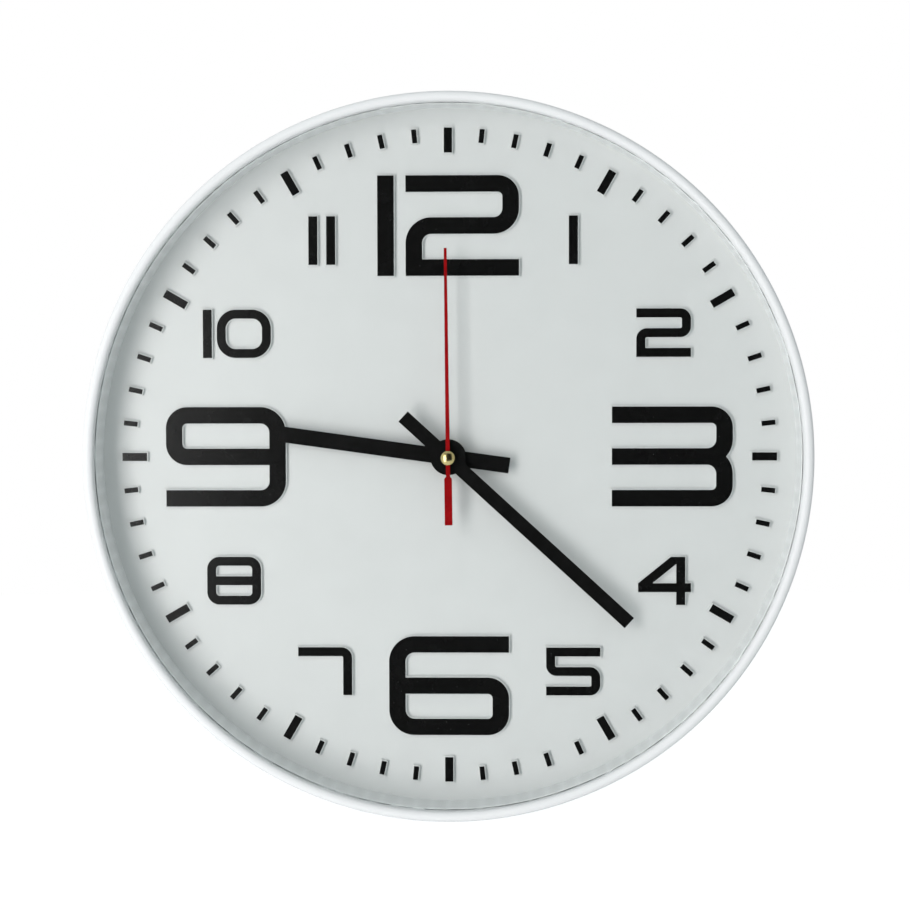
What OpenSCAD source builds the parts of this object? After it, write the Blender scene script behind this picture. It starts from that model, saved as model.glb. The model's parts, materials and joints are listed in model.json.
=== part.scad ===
// Round quartz wall clock with a moulded case, raised numerals and a centre-seconds movement.
// Millimetres. +Z up, the front faces -Y, and the origin is where the clock's axis meets the wall.
// Every piece is drawn lying down: x to the right, y up the dial, z out from the wall to the front.

/* [Case] */
// Diameter of the clock, over the front bead
case_d = 300; // [280:1:340]
// Width of the half-round bead, seen from the front
bead_w = 4.3; // [3.8:0.1:6]
// Height of the bead's straight inner side above the glass
bead_rise = 2.7; // [1.5:0.1:5]
// Thickness of the case wall behind the bead
rim_wall = 2.6; // [2.4:0.1:3]
// How much smaller in radius the case is at the wall than at the bead
rim_draft = 0.8; // [0:0.1:1]
// Number of snap ledges that hold the dial in the case
ledge_count = 8; // [4:1:16]
// Width of one snap ledge, in degrees
ledge_angle = 10; // [4:1:15]
// How far a snap ledge reaches in from the case wall
ledge_depth = 1.2; // [0.6:0.1:2]
// Length of a snap ledge's sloping back
ledge_slope = 3.5; // [2:0.5:8]

/* [Glass] */
// Thickness of the glass
glass_t = 2; // [1.5:0.1:3]
// Space from the numerals to the glass, in which the hands turn
hand_space = 16; // [15.5:0.5:24]

/* [Dial] */
// Thickness of the dial's floor
floor_t = 2.25; // [1.5:0.05:3]
// Thickness of the wall round the dial
dial_wall = 1.7; // [1.2:0.1:2.2]
// Height of the raised figures and marks
boss_h = 1.75; // [0.8:0.05:2.5]
// Thickness of the black foil on the raised figures
foil_t = 0.15; // [0.1:0.05:0.3]
// White edge left round the foil
foil_margin = 0.38; // [0.2:0.02:0.8]
// Thickness of the ribs on the dial's back
rib_t = 1.6; // [1:0.1:3]
// Depth of the ribs on the dial's back
rib_h = 6; // [2:0.5:9]
// Number of radial ribs
rib_count = 8; // [4:4:16]
// Radius of the round rib
rib_ring_r = 84; // [60:1:90]

/* [Large numerals] */
// Width of a large figure
big_w = 50.4; // [40:0.2:54]
// Height of a large figure
big_h = 41.8; // [34:0.1:46]
// Stroke of a large figure
big_stroke = 6.9; // [5:0.1:8]
// Inner radius of a large figure's main bends
big_bend = 3.8; // [1:0.1:5]
// Inner radius of the bends that close a bowl
big_bowl = 2; // [0.5:0.1:3]
// Space between the 3 or the 9 and its hour mark
big_side_gap = 8.05; // [3:0.05:14]
// Space between the 12 or the 6 and its hour mark
big_top_gap = 9.4; // [3:0.05:14]
// Width of the 2 in the 12
twelve_two_w = 47.3; // [40:0.1:50]
// Gap between the 1 and the 2 in the 12
twelve_gap = 4.9; // [3:0.1:7]

/* [Small numerals] */
// Width of a small figure
small_w = 22.7; // [18:0.1:24]
// Height of a small figure
small_h = 20.2; // [16:0.1:22]
// Stroke of a small figure
small_stroke = 3.75; // [2.5:0.05:4.5]
// Inner radius of a small figure's bends
small_bend = 0.7; // [0.3:0.1:1.6]
// Inner radius of the bends in the nought
nought_bend = 4.2; // [2:0.1:5]
// Inner radius of the bends in the 8
eight_bend = 1.5; // [0.4:0.1:3]
// Distance from an hour mark to the middle of its small figure
small_gap = 22.4; // [18:0.05:27]
// Gap between the 1s of the 11
eleven_gap = 3.7; // [2:0.1:6]
// Gap between the 1 and the nought of the 10
ten_gap = 2.1; // [1.5:0.1:4]

/* [Minute marks] */
// Space between the dial's wall and the marks
mark_inset = 8.3; // [4:0.1:10]
// Length of an hour mark
hour_mark_l = 10.35; // [8:0.05:12]
// Width of an hour mark
hour_mark_w = 3.4; // [2.5:0.1:5]
// Length of a minute mark
minute_mark_l = 5.75; // [4:0.05:8]
// Width of a minute mark
minute_mark_w = 2.1; // [1:0.1:3]

/* [Hands] */
// Length of the hour hand from the centre
hour_l = 71.2; // [50:0.1:80]
// Length of the hour hand's tail
hour_tail = 25.7; // [15:0.1:35]
// Width of the hour hand
hour_w = 6.6; // [4:0.1:8]
// Length of the minute hand from the centre
minute_l = 102.1; // [85:0.1:125]
// Length of the minute hand's tail
minute_tail = 25.3; // [15:0.1:35]
// Width of the minute hand
minute_w = 5.75; // [3:0.05:7]
// Radius of the disc in the middle of the hour hand
hour_disc_r = 7.5; // [6.5:0.1:10]
// Radius of the disc in the middle of the minute hand
minute_disc_r = 7.3; // [6:0.1:10]
// Length of the second hand's needle from the centre
second_l = 86.7; // [60:0.1:120]
// Length of the second hand's tail
second_tail = 28; // [15:0.1:40]
// Width of the needle at the centre
needle_w = 1.75; // [1:0.05:2.4]
// Width of the needle at its tip
needle_tip_w = 1.2; // [0.5:0.05:1.5]
// Width of the second hand's tail
tail_w = 3.2; // [2:0.1:5]
// Thickness of the hour and minute hands
hand_t = 0.5; // [0.3:0.05:0.8]
// Thickness of the second hand
second_t = 0.3; // [0.2:0.05:0.6]
// Height of the hour hand above the numerals
hour_rise = 4; // [3.6:0.1:4.5]
// Step from the hour hand up to the minute hand
minute_rise = 3.5; // [3.2:0.1:4]
// Step from the minute hand up to the second hand
second_rise = 3.3; // [3:0.1:4]
// Diameter of the brass cap on the second hand
cap_d = 6; // [4:0.1:8]
// Height of the brass cap
cap_h = 2.7; // [2:0.1:3]
// Direction of the hour hand, in degrees clockwise from 12
hour_angle = 277.9; // [0:0.1:359.9]
// Direction of the minute hand, in degrees clockwise from 12
minute_angle = 132.5; // [0:0.1:359.9]
// Direction of the second hand, in degrees clockwise from 12
second_angle = 359.4; // [0:0.1:359.9]

/* [Movement] */
// Depth of the movement
movement_t = 15.5; // [15.5:0.1:18]
// Clear space round the wheels, towards the battery and the coil
wheel_room = 1.1; // [0.8:0.1:2]
// Clear space between the movement and the wall
wall_gap = 1.3; // [1.3:0.1:4]
// Thickness of the movement's side walls
shell_t = 1.2; // [0.8:0.1:1.3]
// Thickness of the movement's front plate
plate_t = 1.4; // [1.2:0.1:1.8]
// Thickness of the movement's back cover
cover_t = 1; // [0.8:0.1:1.2]
// Radius of the movement's corners
corner_r = 3; // [2:0.1:4]
// Diameter of the threaded bush that passes through the dial
bush_d = 8; // [7:0.1:9]
// Length of the bush in front of the dial
bush_rise = 3.75; // [3:0.05:4]
// Thickness of the rubber washer between movement and dial
rubber_t = 1.2; // [0.8:0.1:2]
// Outer radius of the rubber washer
rubber_r = 10; // [7:0.5:14]
// Thickness of the flat washer
washer_t = 0.5; // [0.3:0.1:0.8]
// Outer radius of the flat washer
washer_r = 6.9; // [6:0.1:8]
// Width of the nut across its flats
nut_af = 11; // [10:0.5:12]
// Thickness of the nut
nut_t = 2; // [1.5:0.1:2.2]
// Diameter of the setting knob
knob_d = 8.6; // [7:0.1:9]
// Thickness of the setting knob
knob_t = 2.4; // [1.5:0.1:2.6]

/* [Gear train] */
// Teeth of the rotor's pinion
rotor_teeth = 8; // [8:1:12]
// Teeth of the intermediate wheel
intermediate_teeth = 40; // [36:1:42]
// Teeth of the intermediate wheel's pinion
intermediate_pinion = 10; // [8:1:12]
// Teeth of the seconds wheel
seconds_teeth = 60; // [54:1:60]
// Teeth of the seconds wheel's pinion
seconds_pinion = 8; // [8:1:10]
// Teeth of the third wheel
third_teeth = 60; // [54:1:60]
// Teeth of the third wheel's pinion
third_pinion = 8; // [8:1:10]
// Teeth of the centre wheel
centre_teeth = 64; // [58:1:66]
// Teeth of the minute arbor's pinion
cannon_teeth = 12; // [10:1:14]
// Teeth of the motion wheel
motion_teeth = 36; // [30:1:36]
// Teeth of the motion wheel's pinion
motion_pinion = 10; // [8:1:12]
// Teeth of the hour wheel
hour_teeth = 40; // [36:1:40]
// Teeth of the setting knob's pinion
knob_teeth = 10; // [8:1:12]
// Tooth module of the rotor's pinion and the intermediate wheel
rotor_module = 0.4; // [0.36:0.01:0.4]
// Tooth module of the seconds wheel and the intermediate pinion
seconds_module = 0.32; // [0.3:0.01:0.32]
// Tooth module of the seconds pinion and the third wheel
third_module = 0.32; // [0.3:0.01:0.32]
// Tooth module of the minute arbor's pinion and the motion wheel
motion_module = 0.4; // [0.36:0.01:0.4]
// Thickness of a wheel
wheel_t = 0.8; // [0.6:0.1:1]
// Thickness of a pinion
pinion_t = 1.4; // [1.2:0.1:1.5]

/* [Motor] */
// Radius of the rotor's magnet
magnet_r = 3; // [2.4:0.1:3.2]
// Thickness of the rotor's magnet
magnet_t = 2.8; // [2:0.1:2.8]
// Gap between the magnet and the stator
air_gap = 0.4; // [0.2:0.05:0.6]
// Thickness of the stator plate and of the coil's core
stator_t = 0.8; // [0.5:0.1:0.9]
// Length of the coil
coil_l = 20; // [14:0.5:21]
// Radius of the coil's winding
coil_r = 3.1; // [2.6:0.1:3.2]
// Radius of the bobbin's end flanges
flange_r = 3.6; // [3.4:0.1:3.8]

/* [Battery] */
// Diameter of the battery
battery_d = 14.2; // [13.5:0.1:14.2]
// Length of the battery with its button
battery_l = 50.5; // [49:0.1:50.5]
// Diameter of the battery's button
button_d = 5.5; // [4.5:0.1:6]
// Length of the battery's button
button_l = 1; // [0.8:0.1:1.6]
// Thickness of the sleeve round the battery
sleeve_t = 0.15; // [0.1:0.05:0.3]
// Room for the contact spring behind the battery
spring_room = 2.2; // [1.8:0.1:4]
// Thickness of the contact strips
contact_t = 0.4; // [0.3:0.1:0.5]
// Thickness of the contact spring's wire
spring_wire = 0.5; // [0.4:0.1:0.6]

/* [Hanger] */
// Distance from the dial's wall down to the top of the keyhole, where the wall screw rests
hang_inset = 35.4; // [25:0.1:45]
// Diameter of the keyhole's wide end, which the screw's head passes
keyhole_d = 9; // [8:0.1:10]
// Width of the keyhole's slot, which holds the screw's neck
keyhole_slot = 4.4; // [3.5:0.1:5]
// Distance from the wide end to the top of the slot
keyhole_l = 8; // [7:0.5:10]
// Thickness of the hanger plate
hanger_t = 1.2; // [0.8:0.1:2]
// Width of the hanger plate
hanger_w = 42; // [38:1:50]
// Height of the hanger plate
hanger_h = 22; // [20:1:26]
// Distance between the hanger's two screws
hanger_screws_x = 30; // [26:1:34]
// Space between the hanger plate and the wall
hanger_gap = 3; // [2:0.1:4]

/* [Hidden] */
$fn = 96;
NUMERALS = ["numeral_1", "numeral_2", "numeral_3", "numeral_4", "numeral_5", "numeral_6",
    "numeral_7", "numeral_8", "numeral_9", "numeral_10", "numeral_11", "numeral_12"];
BLACK = [0.08, 0.08, 0.08];

// Clearances: seat for pieces that drop in, turn for a shaft in its hole, touch for faces that bear
seat = 0.3;
turn = 0.05;
touch = 0.02;

// Heights out from the wall, each stacked on the one before
movement_z = wall_gap;
cover_z = movement_z + cover_t;
plate_z = movement_z + movement_t - plate_t;
front_z = movement_z + movement_t;
floor_z = front_z + rubber_t;
dial_z = floor_z + floor_t;
foil_z = dial_z + boss_h;
top_z = foil_z + foil_t;
glass_z = top_z + hand_space;
lip_z = glass_z + glass_t;
bead_z = lip_z + bead_rise;
bush_z = dial_z + bush_rise;
hour_z = top_z + hour_rise;
minute_z = hour_z + minute_rise;
second_z = minute_z + second_rise;

// Case
case_r = case_d / 2;
bead_r = bead_w / 2;
lip_r = case_r - bead_w;
rear_r = case_r - rim_draft;
seat_r = case_r - rim_wall;
glass_r = seat_r - seat;
dial_edge_r = seat_r - seat;
dial_r = dial_edge_r - dial_wall;
rim_chamfer = 0.5;
overlap = 1;
mark_r = dial_r - mark_inset;
mark_foot_r = mark_r - hour_mark_l;

// Movement: the battery lies along the bottom, and its length sets the width
inner_w = battery_l + spring_room + 2 * contact_t + turn + touch;
movement_w = inner_w + 2 * shell_t;
cell_r = battery_d / 2;
cell_play = 0.2;
cell_z = plate_z - cell_play - cell_r;
divider_t = 1;
bush_hole_r = bush_d / 2 + seat / 2;
button_x = inner_w / 2 - contact_t - turn;
cell_back_x = button_x - battery_l;

// Shafts, one inside the other
seconds_shaft_r = 0.5;
minute_shaft_r = 1.6;
hour_shaft_r = 2.55;
shaft_tip = 0.45;
arbor_r = 0.4;
knob_shaft_r = 1;
post_r = 1.5;
pivot_depth = 0.7;
motion_pin_r = 0.8;

// Levels of the wheels, from the back cover to the front plate, with the clear space below each
level_gaps = [1.3, 0.9, 1.9, 1, 0.9, 1.1];
function level(i) = i == 1 ? cover_z + level_gaps[0] : level(i - 1) + wheel_t + level_gaps[i - 1];
level_1 = level(1);
level_2 = level(2);
level_3 = level(3);
level_4 = level(4);
level_5 = level(5);
level_6 = level(6);
pinion_over = (pinion_t - wheel_t) / 2;
stator_rise = 0.6;
stator_z = level_2 + wheel_t + stator_rise;
magnet_z = stator_z + stator_t / 2 - magnet_t / 2;

// Teeth: how high, how deep and how wide, in modules and in shares of the pitch
wheel_tooth = [0.9, 1.2, 0.46, 0.35];
pinion_tooth = [0.7, 1.2, 0.42, 0.4];
tooth_shoulder = 0.55;

function tip_r(teeth, module_mm) = module_mm * (teeth / 2 + wheel_tooth[0]);

// Distances between the shafts and where each one stands
rotor_gap = rotor_module * (rotor_teeth + intermediate_teeth) / 2;
seconds_gap = seconds_module * (intermediate_pinion + seconds_teeth) / 2;
third_gap = third_module * (seconds_pinion + third_teeth) / 2;
centre_module = 2 * third_gap / (third_pinion + centre_teeth);
motion_gap = motion_module * (cannon_teeth + motion_teeth) / 2;
hour_module = 2 * motion_gap / (motion_pinion + hour_teeth);
knob_gap = motion_module * (motion_teeth + knob_teeth) / 2;
intermediate_dir = 120;
rotor_dir = 20;
third_dir = 8;
motion_dir = 195;
knob_dir = 185;
centre_at = [0, 0];
intermediate_at = polar(seconds_gap, intermediate_dir);
rotor_at = intermediate_at + polar(rotor_gap, rotor_dir);
third_at = polar(third_gap, third_dir);
motion_at = polar(motion_gap, motion_dir);
knob_at = motion_at + polar(knob_gap, knob_dir);
pivots_at = [intermediate_at, rotor_at, third_at];

// Height of the movement: the coil above the wheels, and the battery's bay below them
coil_y = intermediate_at.y + tip_r(intermediate_teeth, rotor_module) + wheel_room / 2 + flange_r;
inner_top = coil_y + flange_r + contact_t + wheel_room / 2;
wheels_r = max(tip_r(seconds_teeth, seconds_module), tip_r(centre_teeth, centre_module));
divider_y = -wheels_r - wheel_room - divider_t;
cell_y = divider_y - cell_play - cell_r;
inner_bottom = cell_y - cell_r - 2 * cell_play;
inner_h = inner_top - inner_bottom;
inner_mid_y = (inner_top + inner_bottom) / 2;
movement_h = inner_h + 2 * shell_t;

// Setting knob, sunk in a cup in the back cover
knob_r = knob_d / 2;
knob_out = 0.4;
knob_z = movement_z - knob_out;
cup_play = 0.4;
cup_t = 0.7;
cup_floor_z = knob_z + knob_t + seat;

// Coil along the top of the movement
coil_inset = 7.8;
coil_x = -inner_w / 2 + coil_inset;
core_w = 2.4;
core_z = stator_z - stator_t;
coil_z = core_z + stator_t / 2;
tube_r = 1.9;
flange_t = 0.8;
core_over = 5;
pad_r = 2;
core_end_x = [coil_x - core_over, coil_x + coil_l + core_over];
pad_x = [core_end_x[0] + pad_r, core_end_x[1] - pad_r];
arm_w = 3;
stator_bend = 1;
stator_ring = 2;
arm_rise = 2.5;
arm_y = rotor_at.y + arm_rise;

// Circuit board beside the rotor
board_t = 1;
board_w = 14;
board_inset = 4.8;
board_x = inner_w / 2 - board_inset - board_w;
board_y = 13;
board_h = 12.5;
board_rise = 0.7;
leg_in = 2;
leg_r = 1;
board_z = cover_z + board_rise;
chip_at = [board_x + 8.5, board_y + 8];
chip_r = 2.4;
crystal_at = [board_x + 6, board_y + 2.5];
crystal_r = 1;
crystal_l = 6;
lead_r = 0.15;
lead_l = 2;

// Contact strips, on edge along the case wall
strip_z = board_z + board_t;
strip_h = 2.5;
strip_at = inner_w / 2 - touch - contact_t / 2;
strip_top = inner_top - touch - contact_t / 2;
strip_bend = corner_r - shell_t - contact_t;

// Numerals: the small ones stand on the hour lines, and three of them a little off
big_x = mark_foot_r - big_side_gap - big_w / 2;
big_y = mark_foot_r - big_top_gap - big_h / 2;
small_r = mark_foot_r - small_gap;
eleven_w = 2 * small_stroke + eleven_gap;
ten_w = small_stroke + ten_gap + small_w;
twelve_w = big_stroke + twelve_gap + twelve_two_w;
two_shift = [-0.6, -0.5];
ten_shift = [1.8, -0.6];
eleven_shift = [-0.6, 0];
four_w = small_w - 0.6;
four_bar_y = -0.14;
four_post_x = 0.306;
four_slope = 39;

// Second hand
hub_r = 1.8;
tail_start = 7.8;
shoulder = 0.9;

// Hand bushes
bush_wall = 0.85;
bush_depth = 1.9;
rivet_t = 0.3;
rivet_w = 0.4;

// Hanger
hanger_z = hanger_gap;
hang_y = dial_r - hang_inset;
hanger_y = hang_y - keyhole_l / 2 + 1;
hanger_corner = 2;
screw_r = 1.4;
screw_head_r = 2.8;
screw_head_h = 1.4;
screw_slot = 0.6;
screw_l = 8;
boss_r = 4;

function polar(r, a) = [r * cos(a), r * sin(a)];

// Turns the drawing plane up against the wall
module on_wall() { rotate([90, 0, 0]) children(); }

// A flat ring
module ring(r_out, r_in, h) {
    difference() {
        cylinder(r = r_out, h = h);
        translate([0, 0, -overlap]) cylinder(r = r_in, h = h + 2 * overlap);
    }
}

// A square with round corners, centred
module round_square(w, h, r) {
    union() {
        square([w - 2 * r, h], center = true);
        square([w, h - 2 * r], center = true);
        for (x = [-1, 1], y = [-1, 1]) translate([x * (w / 2 - r), y * (h / 2 - r)]) circle(r);
    }
}

// ---- Strokes of the numerals ----
// A band of width w along right-angled points [x, y, r]. r is the inner radius of the bend there,
// and 0 leaves a square corner. The band is grown by m all round.

function step(p, i) = [p[i + 1].x - p[i].x, p[i + 1].y - p[i].y];
function stops_short(p, i, w, m) =
    i == 0 || i == len(p) - 1 ? -m
    : p[i].z == 0 ? -(w / 2 + m)
    : p[i].z + w / 2;

module band(p, w, m = 0) {
    for (i = [0 : len(p) - 2]) {
        way = step(p, i);
        near = stops_short(p, i, w, m);
        far = stops_short(p, i + 1, w, m);
        translate([p[i].x, p[i].y]) rotate(atan2(way.y, way.x))
            translate([near, -w / 2 - m]) square([norm(way) - near - far, w + 2 * m]);
    }
    for (i = [1 : 1 : len(p) - 2]) {
        if (p[i].z > 0) bend(p[i], step(p, i - 1), step(p, i), w, m);
    }
}

// The quarter ring that joins two stretches of a band
module bend(corner, arriving, leaving, w, m) {
    mid_r = corner.z + w / 2;
    in_way = arriving / norm(arriving);
    out_way = leaving / norm(leaving);
    left_turn = in_way.x * out_way.y - in_way.y * out_way.x > 0;
    first = left_turn ? -out_way : in_way;
    translate([corner.x, corner.y] + mid_r * (out_way - in_way)) intersection() {
        difference() {
            circle(mid_r + w / 2 + m);
            circle(max(mid_r - w / 2 - m, 0.05));
        }
        rotate(atan2(first.y, first.x)) square(mid_r + w);
    }
}

module one(h, s, m) { band([[0, -h / 2, 0], [0, h / 2, 0]], s, m); }

module two(w, h, s, bowl, main, m) {
    x = (w - s) / 2;
    y = (h - s) / 2;
    band([[-w / 2, y, 0], [x, y, bowl], [x, 0, main], [-x, 0, main], [-x, -y, 0], [w / 2, -y, 0]], s, m);
}

module three(w, h, s, bowl, main, m) {
    x = (w - s) / 2;
    y = (h - s) / 2;
    for (side = [-1, 1])
        band([[-w / 2, side * y, 0], [x, side * y, bowl], [x, 0, main], [-w / 2, 0, 0]], s, m);
}

module four(w, h, s, m) {
    post_x = four_post_x * w;
    bar_y = four_bar_y * h;
    band([[post_x, -h / 2, 0], [post_x, h / 2, 0]], s, m);
    band([[-w / 2, bar_y, 0], [w / 2, bar_y, 0]], s, m);
    intersection() {
        translate([-w / 2 - m, bar_y]) square([w / 2 + post_x + m, h / 2 - bar_y + m]);
        translate([-w / 2, bar_y + s / 2]) rotate(four_slope)
            translate([-w, -s - m]) square([3 * w, s + 2 * m]);
    }
}

module five(w, h, s, bowl, main, m) { mirror([0, 1, 0]) two(w, h, s, bowl, main, m); }

module six(w, h, s, bowl, main, m) {
    x = (w - s) / 2;
    y = (h - s) / 2;
    band([[w / 2, y, 0], [-x, y, main], [-x, -y, main], [x, -y, bowl], [x, 0, bowl], [-x, 0, 0]], s, m);
}

module seven(w, h, s, main, m) {
    x = (w - s) / 2;
    band([[-w / 2, (h - s) / 2, 0], [x, (h - s) / 2, main], [x, -h / 2, 0]], s, m);
}

module nought(w, h, s, main, m) {
    x = (w - s) / 2;
    y = (h - s) / 2;
    for (side = [-1, 1]) band([[0, y, 0], [side * x, y, main], [side * x, -y, main], [0, -y, 0]], s, m);
}

module eight(w, h, s, main, m) {
    nought(w, h, s, main, m);
    band([[-(w - s) / 2, 0, 0], [(w - s) / 2, 0, 0]], s, m);
}

module nine(w, h, s, bowl, main, m) { rotate(180) six(w, h, s, bowl, main, m); }

function small_shift(hour) =
    hour == 2 ? two_shift : hour == 10 ? ten_shift : hour == 11 ? eleven_shift : [0, 0];

// The outline of one hour's numeral, at its place on the dial, grown by m
module numeral_outline(hour, m = 0) {
    at = hour == 12 ? [0, big_y]
        : hour == 6 ? [0, -big_y]
        : hour == 3 ? [big_x, 0]
        : hour == 9 ? [-big_x, 0]
        : polar(small_r, 90 - 30 * hour) + small_shift(hour);
    translate(at) {
        if (hour == 1) one(small_h, small_stroke, m);
        if (hour == 2) two(small_w, small_h, small_stroke, small_bend, small_bend, m);
        if (hour == 3) three(big_w, big_h, big_stroke, big_bowl, big_bend, m);
        if (hour == 4) four(four_w, small_h, small_stroke, m);
        if (hour == 5) five(small_w, small_h, small_stroke, small_bend, small_bend, m);
        if (hour == 6) six(big_w, big_h, big_stroke, big_bowl, big_bend, m);
        if (hour == 7) seven(small_w, small_h, small_stroke, small_bend, m);
        if (hour == 8) eight(small_w, small_h, small_stroke, eight_bend, m);
        if (hour == 9) nine(big_w, big_h, big_stroke, big_bowl, big_bend, m);
        if (hour == 10) {
            translate([-(ten_w - small_stroke) / 2, 0]) one(small_h, small_stroke, m);
            translate([(ten_w - small_w) / 2, 0]) nought(small_w, small_h, small_stroke, nought_bend, m);
        }
        if (hour == 11) {
            for (side = [-1, 1])
                translate([side * (eleven_w - small_stroke) / 2, 0]) one(small_h, small_stroke, m);
        }
        if (hour == 12) {
            translate([-(twelve_w - big_stroke) / 2, 0]) one(big_h, big_stroke, m);
            translate([(twelve_w - twelve_two_w) / 2, 0])
                two(twelve_two_w, big_h, big_stroke, big_bowl, big_bend, m);
        }
    }
}

// The outlines of the marks at every minute for which wanted is true, grown by m
module mark_outline(length, width, m = 0) {
    translate([-width / 2 - m, mark_r - length - m]) square([width + 2 * m, length + 2 * m]);
}

module hour_mark_outlines(m = 0) {
    for (i = [0 : 11]) rotate(30 * i) mark_outline(hour_mark_l, hour_mark_w, m);
}

module minute_mark_outlines(m = 0) {
    for (i = [0 : 59]) if (i % 5 != 0) rotate(6 * i) mark_outline(minute_mark_l, minute_mark_w, m);
}

// ---- Case, glass and dial ----

module frame() {
    color("white") on_wall() {
        rotate_extrude() {
            union() {
                polygon([[seat_r, 0], [rear_r - rim_chamfer, 0], [rear_r, rim_chamfer], [case_r, bead_z],
                    [lip_r, bead_z], [lip_r, lip_z], [seat_r, lip_z]]);
                translate([case_r - bead_r, bead_z]) circle(bead_r);
            }
        }
        for (i = [0 : ledge_count - 1]) rotate(360 / ledge_count * i - ledge_angle / 2) ledge();
    }
}

// One snap ledge, which the dial's edge clicks past
module ledge() {
    ledge_top = floor_z - touch;
    rotate_extrude(angle = ledge_angle)
        polygon([[seat_r + rim_wall / 4, ledge_top], [seat_r - ledge_depth, ledge_top],
            [seat_r, ledge_top - ledge_slope], [seat_r + rim_wall / 4, ledge_top - ledge_slope]]);
}

module glass() {
    color([0.85, 0.95, 0.93, 0.3]) on_wall()
        translate([0, 0, glass_z]) cylinder(r = glass_r, h = glass_t);
}

module dial() {
    color("whitesmoke") on_wall() difference() {
        union() {
            translate([0, 0, floor_z]) cylinder(r = dial_edge_r, h = floor_t);
            translate([0, 0, floor_z]) ring(dial_edge_r, dial_r, glass_z - floor_z);
            translate([0, 0, dial_z - overlap]) linear_extrude(overlap + boss_h) raised_outlines();
            dial_ribs();
            hanger_bosses();
        }
        translate([0, 0, floor_z - overlap]) cylinder(r = bush_hole_r, h = floor_t + 2 * overlap);
        for (side = [-1, 1])
            translate([side * hanger_screws_x / 2, hanger_y, 0])
                cylinder(r = screw_r + touch, h = hanger_z + hanger_t + screw_l);
    }
}

// All the raised figures and marks of the dial
module raised_outlines() {
    for (hour = [1 : 12]) numeral_outline(hour, foil_margin);
    hour_mark_outlines(foil_margin);
    minute_mark_outlines(foil_margin);
}

// Radial and round ribs behind the dial, and the frame that the movement sits in
module dial_ribs() {
    pocket_w = movement_w + 2 * seat;
    pocket_h = movement_h + 2 * seat;
    translate([0, 0, floor_z - rib_h]) linear_extrude(rib_h + overlap) difference() {
        union() {
            for (i = [0 : rib_count - 1]) rotate(360 / rib_count * (i + 0.5))
                translate([0, -rib_t / 2]) square([dial_r, rib_t]);
            difference() {
                circle(rib_ring_r + rib_t / 2);
                circle(rib_ring_r - rib_t / 2);
            }
            translate([0, inner_mid_y])
                round_square(pocket_w + 2 * rib_t, pocket_h + 2 * rib_t, corner_r + rib_t);
        }
        translate([0, inner_mid_y]) round_square(pocket_w, pocket_h, corner_r + seat);
    }
}

// The two posts behind the dial that carry the hanger plate
module hanger_bosses() {
    boss_z = hanger_z + hanger_t;
    for (side = [-1, 1])
        translate([side * hanger_screws_x / 2, hanger_y, boss_z])
            cylinder(r = boss_r, h = floor_z - boss_z + overlap);
}

// The black foil on the front of a raised figure or mark
module foil() { color(BLACK) on_wall() translate([0, 0, foil_z]) linear_extrude(foil_t) children(); }

module numeral(hour) { foil() numeral_outline(hour); }

module hour_marks() { foil() hour_mark_outlines(); }

module minute_marks() { foil() minute_mark_outlines(); }

// ---- Hanger ----

module hanger_plate() {
    color("silver") on_wall() translate([0, hanger_y, hanger_z]) difference() {
        linear_extrude(hanger_t) round_square(hanger_w, hanger_h, hanger_corner);
        translate([0, hang_y - keyhole_l - hanger_y, -overlap]) {
            cylinder(d = keyhole_d, h = hanger_t + 2 * overlap);
            translate([0, keyhole_l - keyhole_slot / 2, 0])
                cylinder(d = keyhole_slot, h = hanger_t + 2 * overlap);
            translate([-keyhole_slot / 2, 0, 0])
                cube([keyhole_slot, keyhole_l - keyhole_slot / 2, hanger_t + 2 * overlap]);
        }
        for (side = [-1, 1])
            translate([side * hanger_screws_x / 2, 0, -overlap])
                cylinder(r = screw_r + seat / 2, h = hanger_t + 2 * overlap);
    }
}

module hanger_screws() {
    color("silver") on_wall() for (side = [-1, 1])
        translate([side * hanger_screws_x / 2, hanger_y, hanger_z - screw_head_h]) difference() {
            union() {
                cylinder(r = screw_head_r, h = screw_head_h);
                cylinder(r = screw_r, h = screw_head_h + screw_l);
            }
            for (a = [0, 90]) rotate(a) translate([-screw_r, -screw_slot / 2, -overlap])
                cube([2 * screw_r, screw_slot, overlap + screw_head_h / 2]);
        }
}

// ---- Fixing of the movement ----

module rubber_washer() {
    color(BLACK) on_wall() translate([0, 0, front_z]) ring(rubber_r, bush_hole_r, rubber_t);
}

module flat_washer() {
    color("gold") on_wall() translate([0, 0, dial_z]) ring(washer_r, bush_hole_r, washer_t);
}

module hex_nut() {
    color("gold") on_wall() translate([0, 0, dial_z + washer_t]) difference() {
        cylinder(d = nut_af / cos(30), h = nut_t, $fn = 6);
        translate([0, 0, -overlap]) cylinder(r = bush_d / 2 + touch, h = nut_t + 2 * overlap);
    }
}

// ---- Movement case ----

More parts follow.
